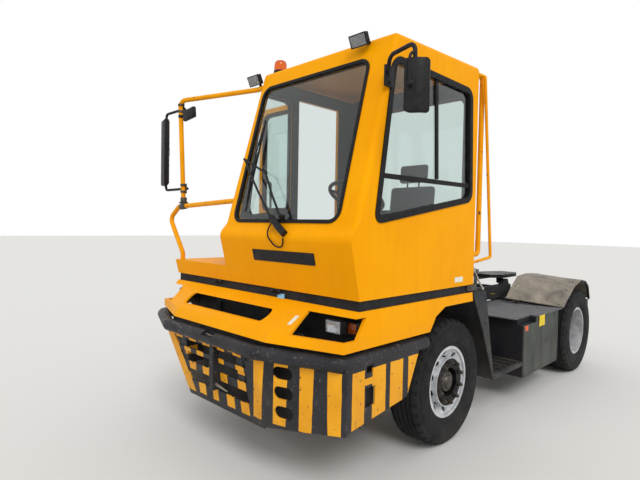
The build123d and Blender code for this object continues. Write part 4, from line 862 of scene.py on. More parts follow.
mirrors = {
    "reach": 1.620, "front": atY(-1.262),
    "left": (1, 0.115, 2.490, 2.815), "right": (-1, 0.220, 2.200, 2.880),  # side, width, low, high
    "arm": [(1.225, atY(-1.03), 2.80), (1.30, atY(-1.12), 2.905), (1.545, atY(-1.20), 2.905),
            (1.55, atY(-1.20), 2.70)],
    "stay": [(1.545, atY(-1.205), 2.850), (1.548, atY(-1.256), 2.822), (1.550, atY(-1.256), 2.668)],
    "rightArms": ((-1.10, 2.93, 2.86), (-1.035, 2.15, 2.23)),  # X and height at the rail, height at the head
    "rightArmY": atY(-1.240 + 0.022 + 0.013 + 0.0003),  # just behind the rail's tube
}


def mirrorHead(piece, side, width, low, high):
    inner, reach, front = mirrors["reach"] - width, mirrors["reach"], mirrors["front"]
    outline = [(inner, front), (inner + 0.008, front + 0.057), (1.614, front + 0.127), (reach, front + 0.102),
               (1.590, front + 0.057)]
    shell = sheet([(x, y, low) for x, y in outline], Vector((0, 0, high - low)))
    bevelled(shell, shell.edges[:], 0.020, 4)
    ends = (inner + 0.014, front + 0.0595), (1.606, front + 0.1255)
    foot, top = low + 0.02, high - 0.02
    corners = [(*ends[0], foot), (*ends[1], foot), (*ends[1], top), (*ends[0], top)]
    join(piece, onSide(side, shell))
    join(piece, onSide(side, sheet(corners, Vector((0.0005, 0.0035, 0)))), 1)


piece = bmesh.new()
mirrorHead(piece, *mirrors["left"])
join(piece, tube(mirrors["arm"], 0.014, 0.05))
join(piece, box((1.2205, atY(-1.075), 2.74), (1.240, atY(-0.985), 2.88), 0.006))
for z in (2.765, 2.855):
    join(piece, rod((1.238, atY(-1.03), z), (1.248, atY(-1.03), z), 0.012, sides=6))
join(piece, box((1.528, atY(-1.222), 2.60), (1.572, atY(-1.178), 2.70), 0.008))
join(piece, tube(mirrors["stay"], 0.0095))
join(piece, ball((1.550, atY(-1.248), 2.655), 0.019))
mirrorHead(piece, *mirrors["right"])
armY = mirrors["rightArmY"]
for armX, armZ, headZ in mirrors["rightArms"]:
    join(piece, tube([(armX, armY, armZ), (-1.47, armY, armZ), (-1.47, armY, headZ)], 0.013, 0.04))
join(piece, box((-1.51, armY - 0.03, 2.50), (-1.43, armY + 0.02, 2.60), 0.008))
finish(piece, "mirrorSet", "cab", [trimBlack, mirrorGlass], ("mirrors",))
print("mirrors done")

workLamps = {
    "ribs": (-0.048, -0.024, 0.0, 0.024, 0.048), "bulbs": (-0.034, 0.034),
    "bulb": [(-0.0245, 0.0), (-0.0245, 0.006), (-0.019, 0.030), (-0.0185, 0.030)],
    "left": (0.939, atY(-0.990), 3.133), "right": (-0.305, atY(-0.955), 3.105), "tilt": math.radians(25),
    "stubs": (((0.980, atY(-0.985), 3.117), (0.980, atY(-0.926), 3.117)),
              ((-0.265, atY(-0.930), 3.0475), (-0.265, atY(-0.930), 3.085))),
    "nuts": (((0.980, atY(-0.940), 3.117), (0.980, atY(-0.930), 3.117)),
             ((-0.265, atY(-0.930), 3.048), (-0.265, atY(-0.930), 3.058))),
}


def workLamp(piece, centre):
    place = Matrix.Translation(centre) @ Matrix.Rotation(workLamps["tilt"], 4, "X")

    def add(shape, skin=0):
        join(piece, turned(place, shape), skin)

    add(box((-0.073, -0.016, -0.043), (0.073, 0.020, 0.043), 0.007))
    for x in workLamps["ribs"]:
        add(box((x - 0.003, 0.018, -0.034), (x + 0.003, 0.0265, 0.034), 0.001))
    for x0, z0, x1, z1 in ((-0.075, -0.045, 0.075, -0.038), (-0.075, 0.038, 0.075, 0.045),
                           (-0.075, -0.045, -0.068, 0.045), (0.068, -0.045, 0.075, 0.045)):
        add(box((x0, -0.0272, z0), (x1, -0.015, z1), 0.0015))
    add(box((-0.067, -0.0185, -0.037), (0.067, -0.0165, 0.037), 0.0005), 1)
    for x in workLamps["bulbs"]:
        add(spun(workLamps["bulb"], (x, 0, 0), "Y", 24), 1)
    add(box((-0.067, -0.0268, -0.037), (0.067, -0.0248, 0.037), 0.0006), 2)


piece = bmesh.new()
workLamp(piece, workLamps["left"])
workLamp(piece, workLamps["right"])
for stub, nut in zip(workLamps["stubs"], workLamps["nuts"]):
    join(piece, rod(*stub, 0.010, soft=0.002))
    join(piece, rod(*nut, 0.014, sides=6))
finish(piece, "workLamps", "cab", [trimBlack, lampMesh, clearLens], ("work_lamps",))

beacon = {
    "x": -0.108, "y": atY(-0.833), "height": 0.118,
    "foot": [(0, 0), (0, 0.061), (0.006, 0.062), (0.019, 0.0605), (0.024, 0.058), (0.024, 0.0)],
    "dome": [(0.024, 0.0), (0.024, 0.056), (0.030, 0.057), (0.078, 0.0545), (0.098, 0.050), (0.110, 0.040),
             (0.1165, 0.022), (0.118, 0.0)],
}
beaconLow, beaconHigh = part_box("beacon")
footZ, topZ = beaconLow[2], beaconHigh[2]
centre = (beacon["x"], beacon["y"], footZ)
dome = [(a * (topZ - footZ) / beacon["height"], r) for a, r in beacon["dome"]]
piece = bmesh.new()
join(piece, spun(beacon["foot"], centre, "Z", 48))
join(piece, spun(dome, centre, "Z", 48), 1)
for number in range(3):
    turn = math.tau * number / 3
    ends = [(beacon["x"] + reach * math.cos(turn), beacon["y"] + reach * math.sin(turn), footZ + 0.006)
            for reach in (0.059, 0.0615)]
    join(piece, rod(*ends, 0.004, sides=6))
finish(piece, "beaconLamp", "cab", [trimBlack, amber], ("beacon",))

# Clamps that hold the mirror arms to the handrail, and the joint between its two tubes
rail = {"x": -1.045, "topX": -1.120, "y": atY(-1.240), "junction": 2.010, "top": 3.005,
        "clamps": (2.93, 2.15), "ring": 0.0285, "ringHalf": 0.011, "collar": 0.031, "bolt": 0.007,
        "crossBolt": 0.006}


def railX(z):
    fall = (rail["x"] - rail["topX"]) * (rail["top"] - z) / (rail["top"] - rail["junction"] - 0.022)
    return rail["topX"] + fall


x, y, thick = rail["x"], rail["y"], rail["ringHalf"]
piece = bmesh.new()
for z in rail["clamps"]:
    for ringZ in (z + lift for lift in (-0.032, 0.032)):
        ringX = railX(ringZ)
        join(piece, rod((ringX, y, ringZ - thick), (ringX, y, ringZ + thick), rail["ring"], soft=0.002))
    middle = railX(z)
    join(piece, box((middle - 0.030, y + 0.020, z - 0.048), (middle + 0.022, y + 0.027, z + 0.048), 0.002))
    for boltZ in (z + lift for lift in (-0.034, 0.034)):
        ends = [(middle - 0.004, y + out, boltZ) for out in (0.025, 0.036)]
        join(piece, rod(*ends, rail["bolt"], sides=6))
join(piece, rod((x, y, 1.985), (x, y, 2.062), rail["collar"], soft=0.003))
join(piece, rod((x - 0.045, y, 1.973), (x + 0.045, y, 1.981), 0.030, soft=0.003))
for aside in (-0.022, 0.022):
    ends = [(x + aside, y + out, 2.012) for out in (-0.036, 0.036)]
    join(piece, rod(*ends, rail["crossBolt"], sides=6))
finish(piece, "railClamps", "cab", [nutSteel])

kerbMirror = {
    "centre": (-0.945, atY(-1.240), 2.850), "half": (0.098, 0.024, 0.052), "tilt": math.radians(-6),
    "arm": [(-1.104, atY(-1.240), 2.850), (-1.075, atY(-1.245), 2.852), (-1.035, atY(-1.243), 2.858)],
    "clamp": ((-1.108, atY(-1.240), 2.836), (-1.107, atY(-1.240), 2.864)),
}
hx, hy, hz = kerbMirror["half"]
place = Matrix.Translation(kerbMirror["centre"]) @ Matrix.Rotation(kerbMirror["tilt"], 4, "Y")
piece = bmesh.new()
join(piece, turned(place, box((-hx, -hy, -hz), (hx, hy * 0.6, hz), 0.016, 4)))
glass = box((-hx + 0.010, hy * 0.55, -hz + 0.010), (hx - 0.010, hy * 0.66, hz - 0.010), 0.0015)
join(piece, turned(place, glass), 1)
join(piece, tube(kerbMirror["arm"], 0.008, 0.02))
join(piece, rod(*kerbMirror["clamp"], 0.0275, soft=0.002))
finish(piece, "kerbMirror", "cab", [trimBlack, mirrorGlass])

# Latch on the rubber band
piece = bmesh.new()
addBoxes(piece, (((1.208, atY(0.14), 1.282), (1.230, atY(0.28), 1.328), 0.005),
                 ((1.222, atY(0.16), 1.296), (1.240, atY(0.235), 1.314), 0.004)))
finish(piece, "cabFixings", "cab", [nutSteel])
print("roof and rails done")


# Wiper, washer pipe, blank nameplate and stickers. Places on the screen are (across, up) in its own plane.

wiper = {"arms": (((0.413, 0.068), (-0.109, 0.573)), ((0.519, 0.079), (0.218, 0.433))),
         "motor": [(0.600, atY(-1.372), 1.750), (0.520, atY(-1.368), 1.803), (0.425, atY(-1.350), 1.866)],
         "link": ((-0.125, 0.580), (0.235, 0.426)), "blade": ((0.036, 0.125), (-0.001, 0.926)), "lift": 0.050}
piece = bmesh.new()
join(piece, tube(wiper["motor"], 0.026, 0.03, 16))
lift = wiper["lift"]
for start, end in wiper["arms"]:
    join(piece, rod(onScreen(*start, 0.014), onScreen(*start, lift + 0.010), 0.019, 0.015, soft=0.002))
    middle = onScreen((start[0] + end[0]) / 2, (start[1] + end[1]) / 2, lift + 0.012)
    join(piece, tube([onScreen(*start, lift), middle, onScreen(*end, lift - 0.004)], 0.0085, 0.1))
join(piece, tube([onScreen(*place, 0.046) for place in wiper["link"]], 0.008, 0.02))
for start, (u, v) in wiper["arms"]:
    join(piece, rod(onScreen(u, v, 0.034), onScreen(u, v, 0.056), 0.011, sides=6))
(u0, v0), (u1, v1) = wiper["blade"]
join(piece, tube([onScreen(u0, v0, 0.014), onScreen(u1, v1, 0.014)], 0.008, 0.01, 8))
join(piece, tube([onScreen(u0, v0 + 0.06, 0.020), onScreen((u0 + u1) / 2, (v0 + v1) / 2, 0.046),
                  onScreen(u1, v1 - 0.06, 0.020)], 0.006, 0.15, 8))
for share in (0.22, 0.42, 0.58, 0.78):
    place = screenPlane @ Matrix.Translation((u0 + (u1 - u0) * share, v0 + (v1 - v0) * share, 0.020))
    join(piece, turned(place, box((-0.007, -0.05, -0.006), (0.007, 0.05, 0.006), 0.002)))
finish(piece, "wiper", "cab", [trimBlack])

washer = [(0.408, atY(-1.326), 1.842), (0.401, atY(-1.385), 1.745), (0.489, atY(-1.362), 1.650),
          (0.572, atY(-1.363), 1.656), (0.585, atY(-1.375), 1.72)]
piece = bmesh.new()
join(piece, tube(washer, 0.0055, 0.05, 8))
finish(piece, "washerPipe", "cab", [sealRubber])

nameplate = {"low": (0.19, 0.213), "high": (0.87, 0.301), "thick": 0.003}
(u0, v0), (u1, v1) = nameplate["low"], nameplate["high"]
nosePlane = sloped((atY(-1.27), 1.333), (atY(-1.37), 1.738))
piece = bmesh.new()
join(piece, plate([(u0, v0), (u1, v0), (u1, v1), (u0, v1)], nosePlane @ Matrix.Translation((0, 0, 0.0006)),
                  nameplate["thick"], 0.006))
for u in (0.205, 0.855):
    for v in (0.226, 0.288):
        join(piece, turned(nosePlane, rod((u, v, 0.002), (u, v, 0.0055), 0.0045, sides=8)))
finish(piece, "nameplate", "cab", [trimBlack])

# The camera's place is also where the stickers were seen from.
shot = {"place": (3.164, -4.737, 1.814), "azimuth": 44.693, "pitch": -1.728, "roll": 1.062, "lens": 26.854}
eye = Vector(shot["place"])


def onto(nodes, start, direction, lift=0.0):
    # Where a ray first meets one of the named solids, raised a little off it, and the way that it faces.
    start, direction = Vector(start), Vector(direction).normalized()
    best = None
    for node in nodes:
        thing = cad[node]
        back = thing.matrix_world.inverted()
        hit, place, normal = thing.ray_cast(back @ start, (back.to_3x3() @ direction).normalized())[:3]
        if hit:
            place = thing.matrix_world @ place
            normal = (thing.matrix_world.to_3x3() @ normal).normalized()
            if normal.dot(direction) > 0:
                normal = -normal
            if best is None or (place - start).length < (best[0] - start).length:
                best = (place, normal)
    return (best[0] + best[1] * lift, best[1]) if best else None


def sticker(name, body, nodes, colour, corners, direction=None):
    # Each corner is carried on to the solid along the line of sight, or along the given direction.
    for drop in (0.0, -0.02, -0.04, -0.06):
        lowered = [Vector(corner) + Vector((0, 0, drop)) for corner in corners]
        if direction:
            hits = [onto(nodes, corner, direction, 0.0008) for corner in lowered]
        else:
            hits = [onto(nodes, eye, corner - eye, 0.0008) for corner in lowered]
        if all(hits):
            break
    else:
        print("sticker missed", name)
        return
    piece = bmesh.new()
    join(piece, sheet([hit[0] for hit in hits], hits[0][1] * 0.0006))
    finish(piece, name, body, [colour])


def squareFront(x0, x1, z0, z1, y):
    return [(x, atY(y), z) for x, z in ((x0, z0), (x1, z0), (x1, z1), (x0, z1))]


def squareSide(y0, y1, z0, z1, x):
    return [(x, atY(y), z) for y, z in ((y0, z0), (y1, z0), (y1, z1), (y0, z1))]


guardCorners = [(1.24, atY(y), z) for y, z in ((2.60, 1.04), (2.80, 1.035), (2.83, 1.115), (2.62, 1.12))]
boomCorners = [(0.408, atY(y), z) for y, z in ((2.40, 1.12), (2.33, 1.01), (2.475, 1.00))]
stickers = (
    ("bandSticker", "chassis", ("body_band", "lower_hood"), paleBlue,
     squareFront(0.397, 0.478, 1.280, 1.318, -1.256)),
    ("hoodSticker", "chassis", ("lower_hood",), paleWhite,
     squareFront(0.752, 0.784, 1.142, 1.192, -5.0), (0, 1, 0)),
    ("boxSticker", "chassis", ("side_box_left",), signYellow, squareSide(1.81, 1.97, 0.75, 0.868, 1.22)),
    ("boxMarker", "chassis", ("side_box_left",), markerOrange, squareSide(1.395, 1.50, 0.752, 0.806, 1.22)),
    ("mudguardSticker", "chassis", ("rear_mudguards",), signYellow, guardCorners),
    ("boomSticker", "lift_boom", ("lift_boom",), signYellow, boomCorners),
    ("cabSticker", "cab", ("cab_left_wall", "cab_floor"), paleWhite,
     squareSide(-0.07, 0.06, 1.370, 1.412, 1.22)),
)
for row in stickers:
    sticker(*row)

towPin = {"pin": ((0.10, atY(-1.605), 0.605), (0.26, atY(-1.605), 0.585)),
          "handle": [(-0.09, atY(-1.610), 0.971), (0.02, atY(-1.612), 0.964), (0.12, atY(-1.610), 0.951)]}
piece = bmesh.new()
join(piece, rod(*towPin["pin"], 0.013, 0.004, 16, 0.001))
join(piece, tube(towPin["handle"], 0.006, 0.05, 8))
finish(piece, "towPinHandle", "chassis", [bareSteel])
print("front fittings done")


# Seat: padded cushion, back and head rest on a frame

seat = {
    "cushion": ((0.48, atY(-0.47), 1.620), (0.96, atY(0.02), 1.740)), "cushionCrown": 0.022,
    "back": ((-0.225, -0.045, 0.0), (0.225, 0.040, 0.430)), "backCrown": 0.018,
    "head": ((-0.140, -0.040, 0.470), (0.140, 0.035, 0.628)), "headCrown": 0.014,
    "backFoot": (0.72, atY(-0.010), 1.745), "lean": math.atan2(0.07, 0.64),
    "seams": (-0.5, 0.5), "piping": 0.004,
}


def cushion(low, high, crown, seams=()):
    # Rounded block, crowned towards its middle, with sewn valleys at the given shares across.
    shape = bmesh.new()
    low, high = Vector(low), Vector(high)
    size = high - low
    middle = (low + high) / 2
    bmesh.ops.create_cube(shape, size=1)
    bmesh.ops.subdivide_edges(shape, edges=shape.edges[:], cuts=15, use_grid_fill=True)
    radius = min(size) * 0.32
    thin = min(range(3), key=lambda k: size[k])
    across, along = (k for k in range(3) if k != thin)
    for vert in shape.verts:
        share = vert.co * 2
        full = Vector((vert.co.x * size.x, vert.co.y * size.y, vert.co.z * size.z))
        core = Vector([max(-(s / 2 - radius), min(s / 2 - radius, c)) for s, c in zip(size, full)])
        off = full - core
        if off.length > 1e-6:
            full = core + off.normalized() * radius
        puff = (1 - share[across] ** 2) * (1 - share[along] ** 2)
        valley = sum(math.exp(-((share[across] - s) / 0.05) ** 2) for s in seams)
        sign = 1 if share[thin] > 0.3 else -1 if share[thin] < -0.3 else 0
        full[thin] += sign * (crown * (puff - 1) - 0.008 * valley)
        vert.co = middle + full
    bmesh.ops.recalc_face_normals(shape, faces=shape.faces)
    return shape


def pad(name, shapes):
    piece = bmesh.new()
    for shape in shapes:
        join(piece, shape)
    made = finish(piece, name, "cab", [seatFabric], ("driver_seat",), 60)


(x0, y0, z0), (x1, y1, z1) = seat["cushion"]
edge, pipeZ = 0.012, z1 - 0.040
loop = [(x0 + edge, y0 + edge, pipeZ), (x1 - edge, y0 + edge, pipeZ), (x1 - edge, y1 - edge, pipeZ),
        (x0 + edge, y1 - edge, pipeZ)]
pad("seatCushion", (cushion(*seat["cushion"], seat["cushionCrown"], seat["seams"]),
                    tube(loop, seat["piping"], 0.05, 8, True)))

backPlace = Matrix.Translation(seat["backFoot"]) @ Matrix.Rotation(-seat["lean"], 4, "X")
loop = [(-0.212, 0.0, 0.014), (0.212, 0.0, 0.014), (0.212, 0.0, 0.416), (-0.212, 0.0, 0.416)]
pad("seatBack", (turned(backPlace, cushion(*seat["back"], seat["backCrown"], seat["seams"])),
                 turned(backPlace, tube(loop, seat["piping"], 0.06, 8, True))))
pad("seatHead", (turned(backPlace, cushion(*seat["head"], seat["headCrown"])),))

# Seat frame: foot plate, bellows, pan and slide, posts of the head rest, and the lever
bellows = {"heights": (1.40, 1.435, 1.47, 1.505, 1.54), "fold": 0.030}
piece = bmesh.new()
join(piece, box((0.59, atY(-0.40), 1.379), (0.85, atY(-0.10), 1.395), 0.004))
for z in bellows["heights"]:
    join(piece, box((0.605, atY(-0.385), z), (0.835, atY(-0.115), z + bellows["fold"]), 0.012, 3))
addBoxes(piece, (((0.53, atY(-0.43), 1.585), (0.91, atY(-0.03), 1.622), 0.008),
                 ((0.50, atY(-0.46), 1.560), (0.525, atY(-0.04), 1.585), 0.004)))
for x in (-0.060, 0.060):
    join(piece, turned(backPlace, rod((x, 0.0, 0.42), (x, 0.0, 0.49), 0.007)))
join(piece, rod((0.485, atY(-0.02), 1.66), (0.485, atY(-0.02), 1.78), 0.012))
finish(piece, "seatFrame", "cab", [trimBlack], ("driver_seat",))

mats = {"places": ((-0.13, -0.960, 1.14, -0.500), (-0.13, -0.500, 0.44, 0.200)), "ribPitch": 0.045}
piece = bmesh.new()
for x0, y0, x1, y1 in mats["places"]:
    join(piece, box((x0, atY(y0), 1.3785), (x1, atY(y1), 1.383), 0.001))
    count = int((x1 - x0) / mats["ribPitch"])
    for number in range(1, count):
        x = x0 + (x1 - x0) * number / count
        join(piece, box((x - 0.006, atY(y0 + 0.02), 1.382), (x + 0.006, atY(y1 - 0.02), 1.3855), 0.001))
finish(piece, "floorMats", "cab", [sealRubber])
print("seat and floor done")


# Fittings on the sides and at the back

def boltsOn(piece, node, starts, direction, radius=0.012, height=0.010, sides=6):
    # Bolt heads where rays from the starts meet the solid.
    for start in starts:
        found = onto((node,), start, direction)
        if found:
            place, normal = found
            join(piece, rod(place - normal * 0.002, place + normal * height, radius, radius * 0.92, sides))


strut = {"x": 1.200, "top": (atY(0.253), 1.490), "sleeve": (atY(0.300), 1.440), "rod": (atY(0.290), 1.450),
         "foot": (atY(0.470), 1.275)}
piece = bmesh.new()
join(piece, rod((strut["x"], *strut["top"]), (strut["x"], *strut["sleeve"]), 0.015, soft=0.002))
join(piece, rod((strut["x"], *strut["rod"]), (strut["x"], *strut["foot"]), 0.009))
join(piece, ball((strut["x"], *strut["foot"]), 0.013))
join(piece, box((1.188, atY(0.2525), 1.470), (1.212, atY(0.262), 1.510), 0.003))
finish(piece, "cabStrut", "cab", [palePaint])

# Bracket at the top of the left splash plate, and the bolts down both
bracket = [(atY(0.290), 1.200), (atY(0.350), 1.200), (atY(0.345), 1.440), (atY(0.300), 1.470),
           (atY(0.290), 1.470)]
splashBolts = (0.12, 0.35, 0.6, 0.85)  # shares of the way down
piece = bmesh.new()
join(piece, plate(bracket, sidePlane(1.2035), 0.0045, 0.006))
for z in (1.215, 1.242):
    join(piece, rod((1.2075, atY(0.32), z), (1.198, atY(0.32), z), 0.008, sides=6))
for side in (-1, 1):
    starts = [(side * 1.6, atY(0.24 + 0.62 * share) + 0.05, 1.20 - 0.70 * share) for share in splashBolts]
    boltsOn(piece, "splash_plates", starts, (-side, 0, 0), 0.009, 0.006)
finish(piece, "splashFittings", "chassis", [boltSteel])

# Edge strips, hinges, latch and bolts of the side box
boxTrim = {"x": 1.2195, "front": atY(1.395), "rear": atY(2.395), "foot": 0.275, "top": 0.866,
           "hinges": (2.02, 2.28), "bolts": (1.41, 1.60, 1.80, 2.0, 2.2, 2.382),
           "latch": ((0.003, 2.03), (0.010, 2.035), (0.010, 2.105), (0.003, 2.11))}
x, y0, y1, z0, z1 = (boxTrim[key] for key in ("x", "front", "rear", "foot", "top"))
piece = bmesh.new()
addBoxes(piece, (((x, y0, z0), (x + 0.004, y0 + 0.026, 0.800), 0.001),
                 ((x, y1 - 0.026, z0), (x + 0.004, y1, z1), 0.001),
                 ((x, y0, z0), (x + 0.004, y1, z0 + 0.022), 0.001),
                 ((x, atY(1.884), z0 + 0.022), (x + 0.003, atY(1.892), z1), 0.001)))
for y in boxTrim["hinges"]:
    join(piece, rod((x + 0.004, atY(y) - 0.035, 0.842), (x + 0.004, atY(y) + 0.035, 0.842), 0.0055, sides=12))
    join(piece, box((x, atY(y) - 0.030, 0.805), (x + 0.003, atY(y) + 0.030, 0.840), 0.001))
join(piece, box((x, atY(2.02), 0.540), (x + 0.005, atY(2.12), 0.585), 0.0015))
join(piece, tube([(x + out, atY(y), 0.5625) for out, y in boxTrim["latch"]], 0.0035, 0.01, 8))
boltsOn(piece, "side_box_left", [(1.6, atY(y), 0.286) for y in boxTrim["bolts"]], (-1, 0, 0), 0.006, 0.0055)
finish(piece, "boxFittings", "chassis", [boxSteel, boltSteel])

grating = {"low": 0.439, "inner": 0.715, "outer": 1.195, "bars": 10, "first": 0.765, "pitch": 0.062}
piece = bmesh.new()
for side in (-1, 1):
    for number in range(grating["bars"]):
        y = atY(grating["first"] + grating["pitch"] * number)
        low, high = sorted((side * grating["inner"], side * grating["outer"]))
        join(piece, box((low, y, grating["low"]), (high, y + 0.010, 0.447), 0.001))
    for share in (0.80, 0.96, 1.12):
        low, high = sorted((side * share - 0.004, side * share + 0.004))
        join(piece, box((low, atY(0.76), grating["low"]), (high, atY(1.345), 0.4455), 0.001))
finish(piece, "stepGratings", "chassis", [boltSteel])

# Straps and filler cap of the fuel tank
tank = {"straps": (1.66, 2.22), "strapHalf": 0.024, "capY": atY(1.55),
        "strapBend": ((-1.2225, 0.79), (-1.215, 0.852), (-1.18, 0.877), (-1.13, 0.884)),
        "cap": [(0, 0), (0, 0.040), (-0.004, 0.044), (-0.014, 0.044), (-0.018, 0.038), (-0.018, 0)]}
half, capY = tank["strapHalf"], tank["capY"]
piece = bmesh.new()
for y in (atY(strap) for strap in tank["straps"]):
    addBoxes(piece, (((-1.2255, y - half, 0.40), (-1.2195, y + half, 0.79), 0.002),
                     ((-1.13, y - half, 0.8815), (-0.44, y + half, 0.8865), 0.002)))
    join(piece, tube([(x, y, z) for x, z in tank["strapBend"]], 0.005, sides=8))
join(piece, spun(tank["cap"], (-1.222, capY, 0.74), "X", 36))
join(piece, box((-1.244, capY - 0.034, 0.732), (-1.236, capY + 0.034, 0.748), 0.003))
finish(piece, "tankFittings", "chassis", [boltSteel])

# Clamps round the silencer and its pipe, and the rain flap on the top
exhaust = {
    "x": -0.70, "y": atY(0.70), "silencerClamps": (0.965, 1.31, 1.655), "silencerRing": 0.0985,
    "pipeClamps": (1.76, 2.79), "pipeRing": 0.0515, "flap": 0.052, "flapHinge": 0.046,
    "flapTilt": math.radians(-38),
}
x, y = exhaust["x"], exhaust["y"]
piece = bmesh.new()
for z in exhaust["silencerClamps"]:
    join(piece, rod((x, y, z - 0.014), (x, y, z + 0.014), exhaust["silencerRing"], sides=48, soft=0.002))
    join(piece, box((x - 0.012, y + 0.096, z - 0.012), (x + 0.012, y + 0.114, z + 0.012), 0.002))
for z in exhaust["pipeClamps"]:
    join(piece, rod((x, y, z - 0.012), (x, y, z + 0.012), exhaust["pipeRing"], sides=36, soft=0.002))
hinge = exhaust["flapHinge"]
place = Matrix.Translation((x, y + hinge, 2.855)) @ Matrix.Rotation(exhaust["flapTilt"], 4, "X")
join(piece, turned(place, rod((0, -hinge, 0), (0, -hinge, 0.004), exhaust["flap"], sides=32)))
join(piece, rod((-0.735, y + 0.049, 2.853), (-0.665, y + 0.049, 2.853), 0.006))
finish(piece, "exhaustFittings", "chassis", [bareSteel])

couplingBolts = ((0.40, 2.60), (0.40, 2.80), (0.40, 3.00), (0.28, 2.54), (0.28, 3.06), (0.16, 2.54))
piece = bmesh.new()
starts = [(side * x, atY(y), 1.6) for side in (-1, 1) for x, y in couplingBolts]
boltsOn(piece, "fifth_wheel", starts, (0, 0, -1), 0.014, 0.003, 16)
finish(piece, "couplingFittings", "fifth_wheel", [greasyIron])

# Bolts on the rails, on the rear crossbar and on the front bumper
railBolts = (0.45, 0.62, 1.15, 1.28, 2.55, 2.72, 3.45, 3.60, 3.74)
piece = bmesh.new()
for side in (-1, 1):
    starts = [(0.7 * side, atY(y), z) for y in railBolts for z in (0.66, 0.80)]
    boltsOn(piece, "chassis_frame", starts, (-side, 0, 0), 0.013, 0.012)
starts = [(x, atY(4.6), z) for x in (-0.62, -0.50, -0.38, 0.38, 0.50, 0.62) for z in (0.70, 0.80)]
boltsOn(piece, "rear_crossbar", starts, (0, -1, 0))
boltsOn(piece, "front_bumper", [(x, atY(-2.2), 0.865) for x in (-0.36, 0.47)], (0, 1, 0), 0.012, 0.008)
finish(piece, "frameBolts", "chassis", [boltSteel])

# Dark sheet behind the opening in the bumper's left side: painted shade, a stand-in for the shade seen
# through the opening
piece = bmesh.new()
join(piece, box((1.203, atY(-1.240), 0.590), (1.207, atY(-1.095), 0.780), 0.001))
finish(piece, "bumperShadeSheet", "chassis", [coreDark])

chamber = {"x": 0.50, "y": atY(2.70), "z": 0.565,
           "profile": [(0, 0), (0, 0.050), (0.012, 0.074), (0.060, 0.078), (0.064, 0.084), (0.074, 0.084),
                       (0.078, 0.078), (0.120, 0.070), (0.135, 0.040), (0.135, 0.0)]}
y, z = chamber["y"], chamber["z"]
piece = bmesh.new()
for x in (-chamber["x"], chamber["x"]):
    join(piece, spun(chamber["profile"], (x, y, z), "Y", 36))
    join(piece, rod((x, y + 0.13, z), (x, atY(3.05), z - 0.03), 0.012))
    join(piece, box((x - 0.05, atY(2.835), 0.50), (x + 0.05, atY(2.90), 0.60), 0.006))
finish(piece, "brakeChambers", "chassis", [frameBlack])

piece = bmesh.new()
for side in (-1, 1):
    starts = [(side * x, atY(y), 2.0) for x in (0.66, 1.19) for y in (2.50, 2.75, 3.0, 3.25, 3.45)]
    boltsOn(piece, "rear_mudguards", starts, (0, 0, -1), 0.009, 0.005)
finish(piece, "mudguardBolts", "chassis", [boltSteel])

# Dials with their needles, and a row of switches
dash = {"dials": (0.60, 0.72, 0.84), "dialZ": 1.745,
        "switches": (0.30, 0.36, 0.42, 1.00, 1.06), "switchZ": 1.70,
        "dial": [(0, 0), (0, 0.042), (0.010, 0.042), (0.012, 0.036), (0.005, 0.034), (0.005, 0)]}


def onDash(x, z):
    found = onto(("dashboard",), (x, atY(-0.3), z), (0, -1, 0))
    return [found[0]] if found else []


piece = bmesh.new()
for x, y, z in (place for x in dash["dials"] for place in onDash(x, dash["dialZ"])):
    join(piece, spun(dash["dial"], (x, y - 0.001, z), "Y", 36))
    join(piece, box((x - 0.002, y + 0.0035, z - 0.004), (x + 0.002, y + 0.0052, z + 0.028), 0.0005), 1)
for x, y, z in (place for x in dash["switches"] for place in onDash(x, dash["switchZ"])):
    join(piece, box((x - 0.018, y - 0.001, z - 0.012), (x + 0.018, y + 0.009, z + 0.012), 0.003))
finish(piece, "dashDials", "cab", [sealRubber, paleWhite])
print("side and rear fittings done")


# Camera, floor, sky and sun

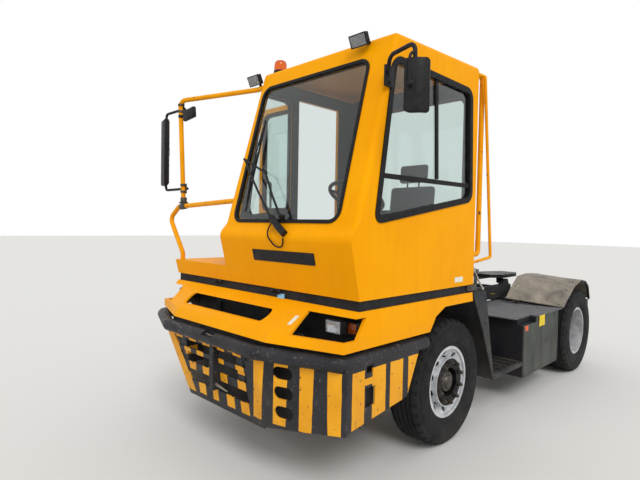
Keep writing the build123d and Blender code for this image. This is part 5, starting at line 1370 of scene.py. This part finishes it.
azimuth, pitch, roll = (math.radians(shot[key]) for key in ("azimuth", "pitch", "roll"))
ahead = Vector((-math.sin(azimuth) * math.cos(pitch), math.cos(azimuth) * math.cos(pitch), math.sin(pitch)))
right = ahead.cross(Vector((0, 0, 1))).normalized()
up = right.cross(ahead)
rightTurned = right * math.cos(roll) + up * math.sin(roll)
upTurned = up * math.cos(roll) - right * math.sin(roll)
lens = bpy.data.cameras.new("camera")
lens.lens = shot["lens"]
lens.sensor_width = 36
camera = bpy.data.objects.new("camera", lens)
turn = Matrix((rightTurned, upTurned, -ahead)).transposed().to_4x4()
camera.matrix_world = Matrix.Translation(shot["place"]) @ turn
bpy.context.scene.collection.objects.link(camera)
bpy.context.scene.camera = camera

stage = {"floorSize": 60, "floorColour": linear(214, 213, 210), "skyLight": 0.85, "skySeen": 1.0,
         "sunEnergy": 1.4, "sunAngle": math.radians(25), "sunWay": (-0.9, 0.55, -1.0)}
ground = bmesh.new()
bmesh.ops.create_grid(ground, x_segments=1, y_segments=1, size=stage["floorSize"])
mesh = bpy.data.meshes.new("floor")
ground.to_mesh(mesh)
ground.free()
mesh.materials.append(Paint("paving", stage["floorColour"], 0.8).material)
floor = bpy.data.objects.new("floor", mesh)
bpy.context.scene.collection.objects.link(floor)

world = bpy.data.worlds.new("sky")
bpy.context.scene.world = world
world.use_nodes = True
tree = world.node_tree
background = tree.nodes["Background"]
paths = tree.nodes.new("ShaderNodeLightPath")
blend = tree.nodes.new("ShaderNodeMix")
blend.data_type = "FLOAT"
tree.links.new(paths.outputs["Is Camera Ray"], blend.inputs[0])
blend.inputs[2].default_value = stage["skyLight"]
blend.inputs[3].default_value = stage["skySeen"]
tree.links.new(blend.outputs[0], background.inputs["Strength"])
background.inputs["Color"].default_value = (1, 1, 1, 1)

sun = bpy.data.lights.new("sun", "SUN")
sun.energy = stage["sunEnergy"]
sun.angle = stage["sunAngle"]
sunLamp = bpy.data.objects.new("sun", sun)
sunLamp.rotation_euler = Vector(stage["sunWay"]).to_track_quat("-Z", "Y").to_euler()
bpy.context.scene.collection.objects.link(sunLamp)
bpy.context.scene.view_settings.view_transform = "Standard"
print("stage done")
